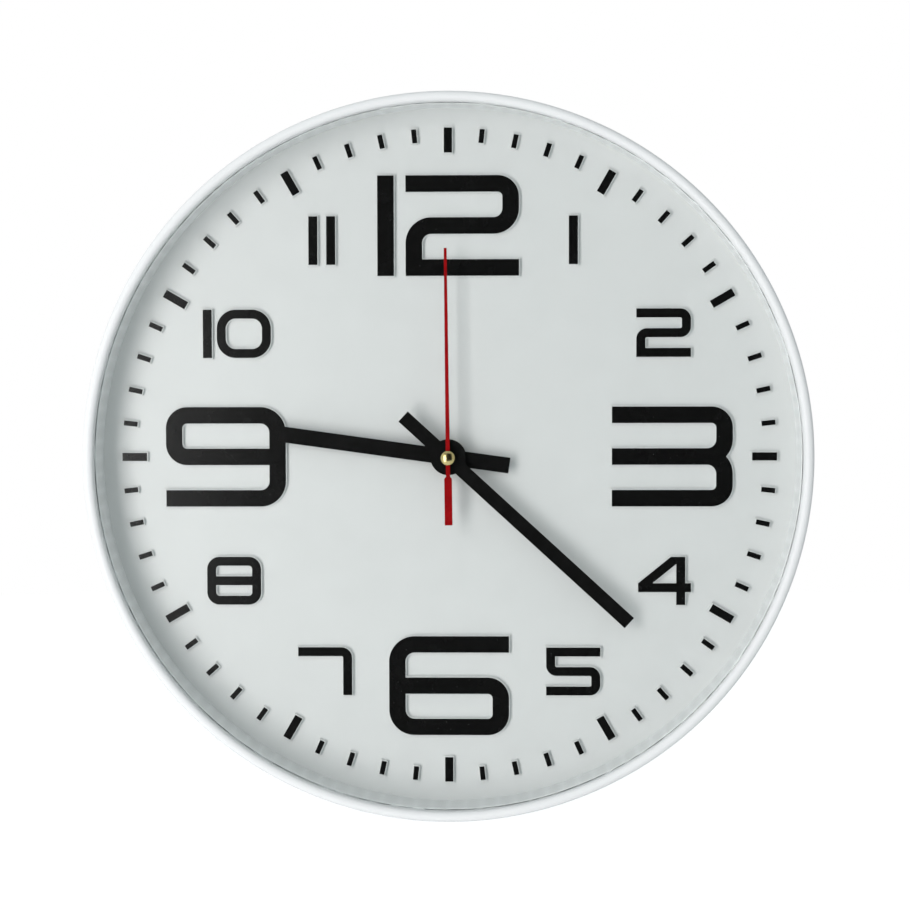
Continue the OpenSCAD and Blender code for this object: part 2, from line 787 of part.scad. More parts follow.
// The tray that holds the train, with the threaded bush in front and the battery's bay below
module movement_case() {
    color([0.12, 0.12, 0.13]) on_wall() difference() {
        union() {
            difference() {
                translate([0, inner_mid_y, cover_z]) linear_extrude(front_z - cover_z)
                    round_square(movement_w, movement_h, corner_r);
                translate([0, inner_mid_y, cover_z - overlap]) linear_extrude(plate_z - cover_z + overlap)
                    round_square(inner_w, inner_h, corner_r - shell_t);
            }
            translate([-movement_w / 2 + shell_t / 2, divider_y, cover_z])
                cube([movement_w - shell_t, divider_t, plate_z - cover_z + plate_t / 2]);
            translate([0, 0, plate_z]) cylinder(d = bush_d, h = bush_z - plate_z);
            for (at = pivots_at) translate([at.x, at.y, plate_z - pivot_depth])
                cylinder(r = post_r, h = pivot_depth + plate_t / 2);
            translate([knob_at.x, knob_at.y, plate_z - pivot_depth])
                cylinder(r = knob_shaft_r + cup_t, h = pivot_depth + plate_t / 2);
            translate([motion_at.x, motion_at.y, level_5 - pinion_over])
                cylinder(r = motion_pin_r, h = plate_z - level_5 + pinion_over + plate_t / 2);
            for (x = pad_x) translate([x, coil_y, stator_z + stator_t])
                cylinder(r = pad_r * 0.8, h = plate_z - stator_z - stator_t + plate_t / 2);
        }
        translate([0, 0, plate_z - overlap])
            cylinder(r = hour_shaft_r + turn, h = bush_z - plate_z + 2 * overlap);
        for (at = pivots_at) translate([at.x, at.y, plate_z - pivot_depth - overlap])
            cylinder(r = arbor_r + turn, h = 2 * pivot_depth + overlap);
        translate([knob_at.x, knob_at.y, plate_z - pivot_depth - overlap])
            cylinder(r = knob_shaft_r + turn, h = 2 * pivot_depth + overlap);
        for (side = [-1, 1]) contact_slot(side);
    }
}

// Notch in the bay's dividing wall for the tail of a contact strip
module contact_slot(side) {
    slot_w = contact_t + 2 * seat;
    translate([side * (inner_w / 2 - slot_w / 2) - slot_w / 2, divider_y - overlap, cover_z - overlap])
        cube([slot_w, divider_t + 2 * overlap, strip_z + strip_h + seat - cover_z + overlap]);
}

// The plate that closes the train's half of the movement, with the knob's cup and the pivots
module movement_cover() {
    cover_h = inner_top + shell_t - divider_y;
    color([0.15, 0.15, 0.16]) on_wall() difference() {
        union() {
            translate([0, 0, movement_z]) linear_extrude(cover_t) intersection() {
                translate([0, inner_mid_y]) round_square(movement_w, movement_h, corner_r);
                translate([-movement_w / 2, divider_y]) square([movement_w, cover_h]);
            }
            for (at = concat(pivots_at, [centre_at])) translate([at.x, at.y, cover_z - cover_t / 2])
                cylinder(r = post_r, h = pivot_depth + cover_t / 2);
            translate([knob_at.x, knob_at.y, movement_z])
                cylinder(r = knob_r + cup_play + cup_t, h = cup_floor_z + cup_t - movement_z);
            for (x = pad_x) translate([x, coil_y, cover_z - cover_t / 2])
                cylinder(r = pad_r * 0.8, h = core_z - cover_z + cover_t / 2);
            for (x = [leg_in, board_w - leg_in], y = [leg_in, board_h - leg_in])
                translate([board_x + x, board_y + y, cover_z - cover_t / 2])
                    cylinder(r = leg_r, h = board_z - cover_z + cover_t / 2);
        }
        for (at = pivots_at) translate([at.x, at.y, cover_z - cover_t / 2])
            cylinder(r = arbor_r + turn, h = 2 * pivot_depth);
        translate([0, 0, cover_z - cover_t / 2]) cylinder(r = seconds_shaft_r + turn, h = 2 * pivot_depth);
        translate([knob_at.x, knob_at.y, movement_z - overlap]) {
            cylinder(r = knob_r + cup_play, h = cup_floor_z - movement_z + overlap);
            cylinder(r = knob_shaft_r + turn, h = cup_floor_z + cup_t - movement_z + 2 * overlap);
        }
    }
}

// ---- Electrics ----

// A sprung pad against one end of the battery, and a strip on edge that leads from it to the board
module contact_strip(side, route) {
    translate([side * strip_at, cell_y, cell_z]) cube([contact_t, 2 * button_d, 2 * button_d], center = true);
    translate([0, 0, strip_z]) linear_extrude(strip_h) band(route, contact_t);
}

module positive_contact() {
    join_y = board_y + 3;
    color("gold") on_wall() contact_strip(1, [[strip_at, cell_y, 0], [strip_at, join_y, strip_bend],
        [board_x + board_w - 1, join_y, 0]]);
}

// The other strip passes between the coil and the case wall
module negative_contact() {
    join_x = board_x + 4;
    color("gold") on_wall() contact_strip(-1, [[-strip_at, cell_y, 0], [-strip_at, strip_top, strip_bend],
        [join_x, strip_top, 0], [join_x, board_y + board_h - 1, 0]]);
}

// A ring of points round the wire at turn t of the contact spring
function coil_point(t, r, pitch, a) =
    [pitch * t + spring_wire / 2 * cos(a), (r + spring_wire / 2 * sin(a)) * cos(360 * t),
        (r + spring_wire / 2 * sin(a)) * sin(360 * t)];

module contact_spring() {
    turns = 3;
    per_turn = 20;
    sides = 8;
    wide_r = 3.4;
    narrow_r = 2;
    start_x = -inner_w / 2 + touch + contact_t + spring_wire / 2;
    room = cell_back_x - turn - spring_wire / 2 - start_x;
    count = turns * per_turn;
    rings = [for (i = [0 : count]) for (k = [0 : sides - 1])
        coil_point(i / per_turn, wide_r + (narrow_r - wide_r) * i / count, room / turns, 360 * k / sides)];
    side_faces = [for (i = [0 : count - 1]) for (k = [0 : sides - 1])
        [i * sides + k, (i + 1) * sides + k, (i + 1) * sides + (k + 1) % sides, i * sides + (k + 1) % sides]];
    first_end = [for (k = [0 : sides - 1]) k];
    last_end = [for (k = [sides - 1 : -1 : 0]) count * sides + k];
    color("silver") on_wall() translate([start_x, cell_y, cell_z])
        polyhedron(points = rings, faces = concat([first_end], side_faces, [last_end]));
}

module circuit_board() {
    color([0.1, 0.4, 0.2]) on_wall() translate([board_x, board_y, board_z]) cube([board_w, board_h, board_t]);
}

module chip() {
    color([0.05, 0.05, 0.05]) on_wall() translate([chip_at.x, chip_at.y, board_z + board_t]) {
        cylinder(r = chip_r, h = 0.5);
        cylinder(r1 = chip_r, r2 = chip_r / 2, h = 1);
    }
}

module crystal() {
    color("silver") on_wall() translate([crystal_at.x, crystal_at.y, board_z + board_t]) {
        translate([0, 0, crystal_r]) rotate([0, 90, 0]) cylinder(r = crystal_r, h = crystal_l);
        for (side = [-1, 1]) translate([-lead_l, side * crystal_r / 2, 0]) {
            translate([0, 0, crystal_r]) rotate([0, 90, 0]) cylinder(r = lead_r, h = lead_l + overlap);
            cylinder(r = lead_r, h = crystal_r + lead_r);
        }
    }
}

module coil_bobbin() {
    color("ivory") on_wall() translate([coil_x, coil_y, coil_z]) rotate([0, 90, 0]) difference() {
        union() {
            cylinder(r = tube_r, h = coil_l);
            cylinder(r = flange_r, h = flange_t);
            translate([0, 0, coil_l - flange_t]) cylinder(r = flange_r, h = flange_t);
        }
        translate([-stator_t / 2 - touch, -core_w / 2 - touch, -overlap])
            cube([stator_t + 2 * touch, core_w + 2 * touch, coil_l + 2 * overlap]);
    }
}

module coil_winding() {
    color("peru") on_wall() translate([coil_x + flange_t + touch, coil_y, coil_z]) rotate([0, 90, 0])
        ring(coil_r, tube_r + touch, coil_l - 2 * flange_t - 2 * touch);
}

module coil_core() {
    color("silver") on_wall() translate([core_end_x[0], coil_y - core_w / 2, core_z])
        cube([core_end_x[1] - core_end_x[0], core_w, stator_t]);
}

// The plate that leads the coil's field to both sides of the magnet
module stator() {
    ring_r = magnet_r + air_gap + stator_ring;
    color("silver") on_wall() translate([0, 0, stator_z]) linear_extrude(stator_t) difference() {
        union() {
            for (x = pad_x) translate([x, coil_y]) circle(pad_r);
            band([[pad_x[0], coil_y, 0], [pad_x[0], arm_y, stator_bend], [rotor_at.x, arm_y, 0]], arm_w);
            band([[pad_x[1], coil_y, 0], [pad_x[1], rotor_at.y, 0]], arm_w);
            translate(rotor_at) circle(ring_r);
        }
        translate(rotor_at) circle(magnet_r + air_gap);
    }
}

// ---- Battery ----

module battery_cell() {
    inner_r = cell_r - sleeve_t - touch;
    color("silver") on_wall() translate([cell_back_x, cell_y, cell_z]) rotate([0, 90, 0]) {
        cylinder(r = inner_r, h = battery_l - button_l);
        cylinder(d = button_d, h = battery_l);
    }
}

module battery_sleeve() {
    margin = 0.3;
    color([0.25, 0.4, 0.6]) on_wall() translate([cell_back_x + margin, cell_y, cell_z]) rotate([0, 90, 0])
        ring(cell_r, cell_r - sleeve_t, battery_l - button_l - 2 * margin);
}

// ---- Gear train ----

// One tooth's points, from its root over its tip
function tooth_points(n, module_mm, form, i) =
    let (
        r = n * module_mm / 2,
        pitch = 360 / n,
        half = form[2] * pitch / 2,
        mid = i * pitch,
        tip_r = r + form[0] * module_mm,
        shoulder_r = r + tooth_shoulder * form[0] * module_mm,
        root_r = r - form[1] * module_mm,
        shoulder_half = half * (1 + form[3]) / 2
    )
    [polar(root_r, mid - half), polar(r, mid - half), polar(shoulder_r, mid - shoulder_half),
        polar(tip_r, mid - half * form[3]), polar(tip_r, mid + half * form[3]),
        polar(shoulder_r, mid + shoulder_half), polar(r, mid + half), polar(root_r, mid + half)];

// A toothed disc with its first tooth at angle phase
module toothed(n, module_mm, form, h, phase = 0) {
    linear_extrude(h) rotate(phase)
        polygon([for (i = [0 : n - 1]) each tooth_points(n, module_mm, form, i)]);
}

// The phase at which a pinion's gaps meet the wheel's teeth, for a wheel whose first tooth is at 0
// and a line from the wheel's centre to the pinion's that points at angle way
function mesh_phase(way, wheel_n, pinion_n) = way + 180 + (way * wheel_n / 360 - 0.5) * 360 / pinion_n;

// Round holes that lighten a wheel
module wheel_holes(pitch_r, hub_r, h) {
    hole_r = (pitch_r - hub_r) / 4;
    for (i = [0 : 3]) rotate(90 * i + 45) translate([(pitch_r + hub_r) / 2, 0, -overlap])
        cylinder(r = hole_r, h = h + 2 * overlap);
}

module wheel(n, module_mm, hub_r) {
    difference() {
        toothed(n, module_mm, wheel_tooth, wheel_t);
        wheel_holes(n * module_mm / 2, hub_r, wheel_t);
    }
}

// The rotor's arbor, with its pinion at the bottom level
module rotor_pinion() {
    color([0.9, 0.9, 0.85]) on_wall() translate([rotor_at.x, rotor_at.y, 0]) {
        translate([0, 0, level_1 - pinion_over])
            toothed(rotor_teeth, rotor_module, pinion_tooth, pinion_t,
                mesh_phase(rotor_dir, intermediate_teeth, rotor_teeth));
        translate([0, 0, level_1]) cylinder(r = 2 * arbor_r, h = magnet_z + magnet_t - level_1 + 0.3);
        pivots();
    }
}

module rotor_magnet() {
    color([0.3, 0.3, 0.32]) on_wall() translate([rotor_at.x, rotor_at.y, magnet_z])
        ring(magnet_r, 2 * arbor_r + touch, magnet_t);
}

// A thin arbor from the back cover's pivot to the front plate's
module pivots() {
    translate([0, 0, cover_z - cover_t / 2 + turn])
        cylinder(r = arbor_r, h = plate_z - cover_z + cover_t / 2 + pivot_depth - 3 * turn);
}

module intermediate_wheel() {
    color("ivory") on_wall() translate([intermediate_at.x, intermediate_at.y, 0]) {
        translate([0, 0, level_1]) wheel(intermediate_teeth, rotor_module, post_r);
        translate([0, 0, level_2 - pinion_over])
            toothed(intermediate_pinion, seconds_module, pinion_tooth, pinion_t,
                mesh_phase(intermediate_dir, seconds_teeth, intermediate_pinion));
        translate([0, 0, level_1]) cylinder(r = 2 * arbor_r, h = level_2 - level_1);
        pivots();
    }
}

// The seconds wheel with its pinion, on the arbor that carries the second hand
module seconds_wheel() {
    start_z = cover_z - cover_t / 2 + turn;
    color("ivory") on_wall() {
        translate([0, 0, level_2]) wheel(seconds_teeth, seconds_module, post_r);
        translate([0, 0, level_3 - pinion_over])
            toothed(seconds_pinion, third_module, pinion_tooth, pinion_t,
                mesh_phase(third_dir + 180, third_teeth, seconds_pinion));
        translate([0, 0, level_2]) cylinder(r = 2 * seconds_shaft_r, h = level_3 - level_2);
        translate([0, 0, start_z])
            cylinder(r = seconds_shaft_r, h = second_z + second_t + shaft_tip - start_z);
    }
}

module third_wheel() {
    color("ivory") on_wall() translate([third_at.x, third_at.y, 0]) {
        translate([0, 0, level_3]) wheel(third_teeth, third_module, post_r);
        translate([0, 0, level_4 - pinion_over])
            toothed(third_pinion, centre_module, pinion_tooth, pinion_t,
                mesh_phase(third_dir, centre_teeth, third_pinion));
        translate([0, 0, level_3]) cylinder(r = 2 * arbor_r, h = level_4 - level_3);
        pivots();
    }
}

// The wheel that grips the minute arbor and slips on it when the hands are set
module centre_wheel() {
    color("ivory") on_wall() translate([0, 0, level_4]) difference() {
        wheel(centre_teeth, centre_module, minute_shaft_r + 1);
        translate([0, 0, -overlap]) cylinder(r = minute_shaft_r + touch, h = wheel_t + 2 * overlap);
    }
}

// The tube that carries the minute hand, with the pinion that drives the motion work
module minute_arbor() {
    start_z = level_4 - pinion_over;
    tube_l = minute_z + hand_t + shaft_tip - start_z;
    color([0.85, 0.85, 0.8]) on_wall() difference() {
        union() {
            translate([0, 0, start_z]) cylinder(r = minute_shaft_r, h = tube_l);
            translate([0, 0, level_5 - pinion_over])
                toothed(cannon_teeth, motion_module, pinion_tooth, pinion_t,
                    mesh_phase(motion_dir + 180, motion_teeth, cannon_teeth));
        }
        translate([0, 0, start_z - overlap]) cylinder(r = seconds_shaft_r + turn, h = tube_l + 2 * overlap);
    }
}

module motion_wheel() {
    color("ivory") on_wall() translate([motion_at.x, motion_at.y, 0]) difference() {
        union() {
            translate([0, 0, level_5]) wheel(motion_teeth, motion_module, post_r);
            translate([0, 0, level_5]) cylinder(r = 2 * motion_pin_r, h = level_6 - level_5);
            translate([0, 0, level_6 - pinion_over])
                toothed(motion_pinion, hour_module, pinion_tooth, pinion_t,
                    mesh_phase(motion_dir, hour_teeth, motion_pinion));
        }
        translate([0, 0, level_5 - overlap])
            cylinder(r = motion_pin_r + turn, h = level_6 - level_5 + pinion_t + 2 * overlap);
    }
}

// The hour wheel and the tube that carries the hour hand
module hour_wheel() {
    tube_top = hour_z + hand_t + shaft_tip;
    color([0.85, 0.85, 0.8]) on_wall() difference() {
        union() {
            translate([0, 0, level_6]) wheel(hour_teeth, hour_module, hour_shaft_r + 0.5);
            translate([0, 0, level_6]) cylinder(r = hour_shaft_r, h = tube_top - level_6);
        }
        translate([0, 0, level_6 - overlap])
            cylinder(r = minute_shaft_r + turn, h = tube_top - level_6 + 2 * overlap);
    }
}

module setting_knob() {
    grips = 20;
    color([0.2, 0.2, 0.21]) on_wall() translate([knob_at.x, knob_at.y, 0]) {
        translate([0, 0, knob_z]) difference() {
            cylinder(r = knob_r, h = knob_t);
            for (i = [0 : grips - 1]) rotate(360 / grips * i) translate([knob_r + 0.2, 0, -overlap])
                cylinder(r = 0.5, h = knob_t + 2 * overlap);
        }
        translate([0, 0, knob_z + knob_t / 2])
            cylinder(r = knob_shaft_r, h = plate_z + pivot_depth - 2 * turn - knob_z - knob_t / 2);
        translate([0, 0, level_5 - pinion_over])
            toothed(knob_teeth, motion_module, pinion_tooth, pinion_t,
                mesh_phase(knob_dir, motion_teeth, knob_teeth));
    }
}

// ---- Hands ----

// A plain parallel hand with square ends and a round disc at its middle
module baton(length, tail, width, disc_r, hole_r, angle, z) {
    on_wall() translate([0, 0, z]) rotate(-angle) linear_extrude(hand_t) difference() {
        union() {
            translate([-width / 2, -tail]) square([width, tail + length]);
            circle(disc_r);
        }
        circle(hole_r);
    }
}

// The bush under a hand, with a rim riveted over the blade
module hand_bush(shaft_r, z) {
    outer_r = shaft_r + bush_wall;
    color("gold") on_wall() difference() {
        union() {
            translate([0, 0, z - bush_depth]) cylinder(r = outer_r, h = bush_depth + hand_t);
            translate([0, 0, z + hand_t]) cylinder(r = outer_r + rivet_w, h = rivet_t);
        }
        translate([0, 0, z - bush_depth - overlap])
            cylinder(r = shaft_r + touch, h = bush_depth + hand_t + rivet_t + 2 * overlap);
    }
}

module hour_hand() {
    color(BLACK)
        baton(hour_l, hour_tail, hour_w, hour_disc_r, hour_shaft_r + bush_wall + touch, hour_angle, hour_z);
}

module hour_hand_bush() { hand_bush(hour_shaft_r, hour_z); }

module minute_hand() {
    color(BLACK)
        baton(minute_l, minute_tail, minute_w, minute_disc_r, minute_shaft_r + bush_wall + touch,
            minute_angle, minute_z);
}

module minute_hand_bush() { hand_bush(minute_shaft_r, minute_z); }

// A needle that tapers from its tail's shoulder to its tip, with a small disc under the cap
module second_hand() {
    color("red") on_wall() translate([0, 0, second_z]) rotate(-second_angle)
        linear_extrude(second_t) difference() {
            union() {
                polygon([
                    [-needle_tip_w / 2, second_l], [needle_tip_w / 2, second_l],
                    [needle_w / 2, 0], [needle_w / 2, -tail_start],
                    [tail_w / 2, -tail_start - shoulder], [tail_w / 2, -second_tail],
                    [-tail_w / 2, -second_tail], [-tail_w / 2, -tail_start - shoulder],
                    [-needle_w / 2, -tail_start], [-needle_w / 2, 0]]);
                circle(hub_r);
            }
            circle(seconds_shaft_r + touch);
        }
}

// The tube under the second hand, pressed on the seconds arbor
module second_hand_bush() {
    tube_l = 1.9;
    color("gold") on_wall() translate([0, 0, second_z - tube_l])
        ring(seconds_shaft_r + bush_wall, seconds_shaft_r + touch, tube_l);
}

// The domed cap over the end of the seconds arbor
module second_hand_cap() {
    dome_h = 0.9;
    cap_r = cap_d / 2;
    sphere_r = (cap_r * cap_r + dome_h * dome_h) / (2 * dome_h);
    color("gold") on_wall() translate([0, 0, second_z + second_t]) difference() {
        intersection() {
            cylinder(r = cap_r, h = cap_h);
            translate([0, 0, cap_h - sphere_r]) sphere(r = sphere_r);
        }
        translate([0, 0, -overlap]) cylinder(r = seconds_shaft_r + touch, h = overlap + shaft_tip + touch);
    }
}

frame();
glass();
dial();
for (hour = [1 : 12]) numeral(hour);
hour_marks();
minute_marks();
hanger_plate();
hanger_screws();
rubber_washer();
flat_washer();
hex_nut();
movement_case();
movement_cover();
positive_contact();
negative_contact();
contact_spring();
circuit_board();
chip();
crystal();
coil_bobbin();
coil_winding();
coil_core();
stator();
battery_cell();
battery_sleeve();
rotor_magnet();
rotor_pinion();
intermediate_wheel();
seconds_wheel();
third_wheel();
centre_wheel();
minute_arbor();
motion_wheel();
hour_wheel();
setting_knob();
hour_hand();
hour_hand_bush();
minute_hand();
minute_hand_bush();
second_hand();
second_hand_bush();
second_hand_cap();
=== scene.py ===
"""A round quartz wall clock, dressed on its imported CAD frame.

Metres, in the clock's own frame: +Z up, +X to the right, the front faces -Y, and the origin is where
the clock's axis meets the wall. "Out" is the distance from the wall towards the viewer, which is -Y.
"""

import json
import logging
import math
from collections.abc import Callable
from dataclasses import dataclass
from enum import Enum
from typing import Any

import bmesh
import bpy
from mathutils import Matrix, Quaternion, Vector


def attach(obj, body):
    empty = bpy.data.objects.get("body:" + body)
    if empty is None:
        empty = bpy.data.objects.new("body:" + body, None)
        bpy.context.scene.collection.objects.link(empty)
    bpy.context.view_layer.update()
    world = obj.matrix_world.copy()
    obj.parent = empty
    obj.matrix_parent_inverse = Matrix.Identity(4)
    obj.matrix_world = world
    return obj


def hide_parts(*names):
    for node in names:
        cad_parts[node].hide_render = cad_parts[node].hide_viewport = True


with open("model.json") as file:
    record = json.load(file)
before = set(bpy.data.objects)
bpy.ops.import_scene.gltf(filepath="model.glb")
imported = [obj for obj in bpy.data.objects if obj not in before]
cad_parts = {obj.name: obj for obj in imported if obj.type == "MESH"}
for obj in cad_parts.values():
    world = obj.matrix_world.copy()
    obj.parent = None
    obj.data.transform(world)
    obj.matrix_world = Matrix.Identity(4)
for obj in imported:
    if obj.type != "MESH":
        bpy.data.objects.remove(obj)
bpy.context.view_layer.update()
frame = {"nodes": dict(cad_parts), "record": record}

log = logging.getLogger("wall_clock")
MM = 0.001
Colour = tuple[float, float, float]
Point = tuple[float, float, float]
Range = tuple[float, float]
EdgeTest = Callable[[bmesh.types.BMEdge], bool]


class Slot(Enum):
    """The record's material slots."""

    CASE = "case_white"
    DIAL = "dial_white"
    LENS = "lens_glass"
    FOIL = "foil_black"
    HAND = "hand_black"
    SECONDS = "hand_red"
    BRASS = "brass"
    STEEL = "steel"
    MOVEMENT = "movement_black"
    GEAR = "gear_ivory"
    RUBBER = "rubber_black"
    BOARD = "board_green"
    COPPER = "copper"
    MAGNET = "magnet_grey"
    CELL = "cell_case"
    SLEEVE = "cell_sleeve"


class Axis(Enum):
    """A direction that a pattern changes along, or that a shape turns about."""

    X = "X"
    Y = "Y"


# ---- Materials ----


def with_alpha(value: Any) -> Any:
    """A plain colour with full alpha. A socket or a number stays as it is."""
    return (*value, 1.0) if isinstance(value, tuple) else value


def shaded(colour: Colour, by: float) -> Colour:
    """A colour made darker or paler by a factor."""
    red, green, blue = colour
    return red * by, green * by, blue * by


class Tree:
    """A shader's node tree, written from left to right."""

    def __init__(self, tree: bpy.types.NodeTree) -> None:
        """Empties the tree."""
        self.tree = tree
        self.tree.nodes.clear()

    def add(self, kind: str, inputs: dict[int | str, Any] | None = None, **settings: Any) -> bpy.types.Node:
        """Adds a node.

        Args:
            kind: The node's type without its ShaderNode prefix.
            inputs: Sockets to link and plain values to set, by input name or number.
            settings: The node's own properties.

        Returns:
            The node.
        """
        node = self.tree.nodes.new("ShaderNode" + kind)
        for name, value in settings.items():
            setattr(node, name, value)
        for key, value in (inputs or {}).items():
            if isinstance(value, bpy.types.NodeSocket):
                self.tree.links.new(value, node.inputs[key])
            else:
                node.inputs[key].default_value = value
        return node

    def larger(self, first: bpy.types.NodeSocket, second: bpy.types.NodeSocket) -> bpy.types.NodeSocket:
        """The larger of two values."""
        return self.add("Math", {0: first, 1: second}, operation="MAXIMUM").outputs[0]


class Graph(Tree):
    """The node tree of one material, and the patterns that materials share."""

    def __init__(self, name: str) -> None:
        """Starts an empty tree.

        Args:
            name: The material's name.
        """
        self.material = bpy.data.materials.new(name)
        self.material.use_nodes = True
        super().__init__(self.material.node_tree)
        self.at = self.add("TexCoord").outputs["Object"]

    def drawn_out(self, scale: float) -> bpy.types.NodeSocket:
        """Coordinates on which a pattern is drawn out along X by a factor."""
        inputs = {"Vector": self.at, "Scale": (scale, 1, 1)}
        return self.add("Mapping", inputs, vector_type="TEXTURE").outputs[0]

    def noise(
        self, size: float, detail: float, at: bpy.types.NodeSocket | None = None
    ) -> bpy.types.NodeSocket:
        """Cloudy noise from 0 to 1, whose features are about size metres across."""
        vector = self.at if at is None else at
        return self.add("TexNoise", {"Vector": vector, "Scale": 1 / size, "Detail": detail}).outputs[0]

    def specks(self, size: float, share: float) -> bpy.types.NodeSocket:
        """Scattered round specks, 1 inside and 0 outside.

        Args:
            size: Distance between specks in metres.
            share: A speck's radius as a share of that distance.

        Returns:
            The specks' mask.
        """
        whole = share * 0.6
        cells = self.add("TexVoronoi", {"Vector": self.at, "Scale": 1 / size, "Randomness": 1.0})
        return self.ranged(cells.outputs["Distance"], (share, whole))

    def bands(self, pitch: float, across: Axis, waver: float) -> bpy.types.NodeSocket:
        """Even ridges from 0 to 1.

        Args:
            pitch: Distance from ridge to ridge in metres.
            across: The direction across the ridges.
            waver: How unsteady the ridges are.

        Returns:
            The ridges' height.
        """
        # The texture turns through 20 radians in a metre at a scale of 1.
        scale = 2 * math.pi / 20 / pitch
        steady = {"Scale": scale, "Detail": 1.0, "Detail Scale": 0.3}
        return self.add(
            "TexWave", {"Vector": self.at, "Distortion": waver, **steady}, bands_direction=across.value
        ).outputs[1]

    def rings(self, pitch: float) -> bpy.types.NodeSocket:
        """Fine uneven rings round the clock's axis, as a lathe leaves them, from 0 to 1."""
        inputs = {"W": self.radius(), "Scale": 1 / pitch, "Detail": 2.0}
        return self.add("TexNoise", inputs, noise_dimensions="1D").outputs[0]

    def radius(self) -> bpy.types.NodeSocket:
        """The distance from the clock's axis."""
        flat = self.add("VectorMath", {0: self.at, 1: (1, 0, 1)}, operation="MULTIPLY")
        return self.add("VectorMath", {0: flat.outputs[0]}, operation="LENGTH").outputs["Value"]

    def ranged(
        self,
        value: bpy.types.NodeSocket,
        taken: Range = (0.3, 0.7),
        given: Range = (0.0, 1.0),
    ) -> bpy.types.NodeSocket:
        """Maps a value from the range taken to the range given, and holds it there."""
        ends = {"From Min": taken[0], "From Max": taken[1], "To Min": given[0], "To Max": given[1]}
        return self.add("MapRange", {"Value": value, **ends}).outputs[0]

    def uneven(self, pattern: bpy.types.NodeSocket, middle: float, spread: Range) -> bpy.types.NodeSocket:
        """A value that wanders about its middle with a pattern, by the spread below and above."""
        return self.ranged(pattern, given=(middle + spread[0], middle + spread[1]))

    def blend(self, share: bpy.types.NodeSocket | float, first: Any, second: Any) -> bpy.types.NodeSocket:
        """Blends two colours, each plain or a socket.

        Args:
            share: How much of the second colour shows, from 0 to 1.
            first: The colour at 0.
            second: The colour at 1.

        Returns:
            The blended colour.
        """
        sides = {6: with_alpha(first), 7: with_alpha(second)}
        return self.add("Mix", {0: share, **sides}, data_type="RGBA").outputs[2]

    def relief(
        self, height: bpy.types.NodeSocket, depth: float, under: bpy.types.NodeSocket | None = None
    ) -> bpy.types.NodeSocket:
        """A bump of a given depth.

        Args:
            height: The relief, from 0 to 1.
            depth: Its full depth in metres.
            under: A relief that this one lies on.

        Returns:
            The bumped normal.
        """
        inputs: dict[int | str, Any] = {"Height": height, "Distance": depth, "Strength": 1.0}
        if under is not None:
            inputs["Normal"] = under
        return self.add("Bump", inputs).outputs[0]

    def surface(self, **inputs: Any) -> bpy.types.Node:
        """A Principled shader. An input's name has _ for each space in it."""
        return self.add(
            "BsdfPrincipled", {key.replace("_", " "): with_alpha(value) for key, value in inputs.items()}
        )

    def done(self, shader: bpy.types.Node) -> bpy.types.Material:
        """Ends the tree at a shader.

        Args:
            shader: The node whose first output is the surface.

        Returns:
            The material.
        """
        self.add("OutputMaterial", {"Surface": shader.outputs[0]})
        return self.material


@dataclass(frozen=True)
class MouldedPlastic:
    """A moulded plastic: faint clouds of colour, a skin of fine grain, and dust in patches.

    From a set distance from the clock's axis outwards, the colour turns paler: painted light that lifts the
    dial's inward-facing wall out of the shade inside the rim.
    """

    name: str
    colour: Colour
    roughness: float = 0.4
    clouds: float = 0.03
    cloud_size: float = 20 * MM
    grain_size: float = 0.5 * MM
    grain_depth: float = 0.004 * MM
    spread: Range = (-0.04, 0.05)
    dust: Colour = (0.42, 0.41, 0.39)
    dust_lies: Range = (0.48, 0.75)
    dust_share: float = 0.0
    painted_light_colour: Colour = (0.8, 0.8, 0.8)
    painted_light_from: float = 0.0
    painted_light_fade: float = 0.1 * MM
    ior: float = 1.52

    def make(self) -> bpy.types.Material:
        """Writes the material.

        Returns:
            The material.
        """
        g = Graph(self.name)
        deep, pale = shaded(self.colour, 1 - self.clouds), shaded(self.colour, 1 + self.clouds)
        colour = g.blend(g.ranged(g.noise(self.cloud_size, 4.0)), deep, pale)
        if self.dust_share:
            lying = g.ranged(g.noise(self.cloud_size / 3, 6.0), self.dust_lies, (0.0, self.dust_share))
            colour = g.blend(lying, colour, self.dust)
        # Painted light: beyond the given radius the colour is blended to a paler one, standing in for light
        # on the dial's shaded wall.
        if self.painted_light_from:
            painted_light_share = g.ranged(g.radius(), (self.painted_light_from, self.painted_light_from + self.painted_light_fade))
            colour = g.blend(painted_light_share, colour, self.painted_light_colour)
        rough = g.uneven(g.noise(self.cloud_size / 2, 5.0), self.roughness, self.spread)
        grain = g.relief(g.noise(self.grain_size, 3.0), self.grain_depth)
        return g.done(g.surface(Base_Color=colour, Roughness=rough, Normal=grain, IOR=self.ior))


@dataclass(frozen=True)
class StampedFoil:
    """Hot-stamped foil: glossy pigment on a carrier film, with the texture of the plastic under it."""

    name: str
    colour: Colour
    roughness: float = 0.16
    spread: Range = (-0.02, 0.03)
    matt_size: float = 4 * MM
    thin_size: float = 6 * MM
    thin_shade: float = 1.35
    pinhole: Colour = (0.16, 0.165, 0.165)
    pinhole_pitch: float = 3.1 * MM
    pinhole_share: float = 0.045
    peel_size: float = 1.3 * MM
    peel_depth: float = 0.012 * MM
    grain_size: float = 0.22 * MM
    grain_depth: float = 0.0015 * MM
    ior: float = 1.3

    def make(self) -> bpy.types.Material:
        """Writes the material.

        Returns:
            The material.
        """
        g = Graph(self.name)
        thin = g.ranged(g.noise(self.thin_size, 6.0), (0.45, 0.8))
        field = g.blend(thin, self.colour, shaded(self.colour, self.thin_shade))
        colour = g.blend(g.specks(self.pinhole_pitch, self.pinhole_share), field, self.pinhole)
        rough = g.uneven(g.noise(self.matt_size, 5.0), self.roughness, self.spread)
        peel = g.relief(g.noise(self.peel_size, 2.0), self.peel_depth)
        grain = g.relief(g.noise(self.grain_size, 1.0), self.grain_depth, peel)
        return g.done(g.surface(Base_Color=colour, Roughness=rough, Normal=grain, IOR=self.ior))


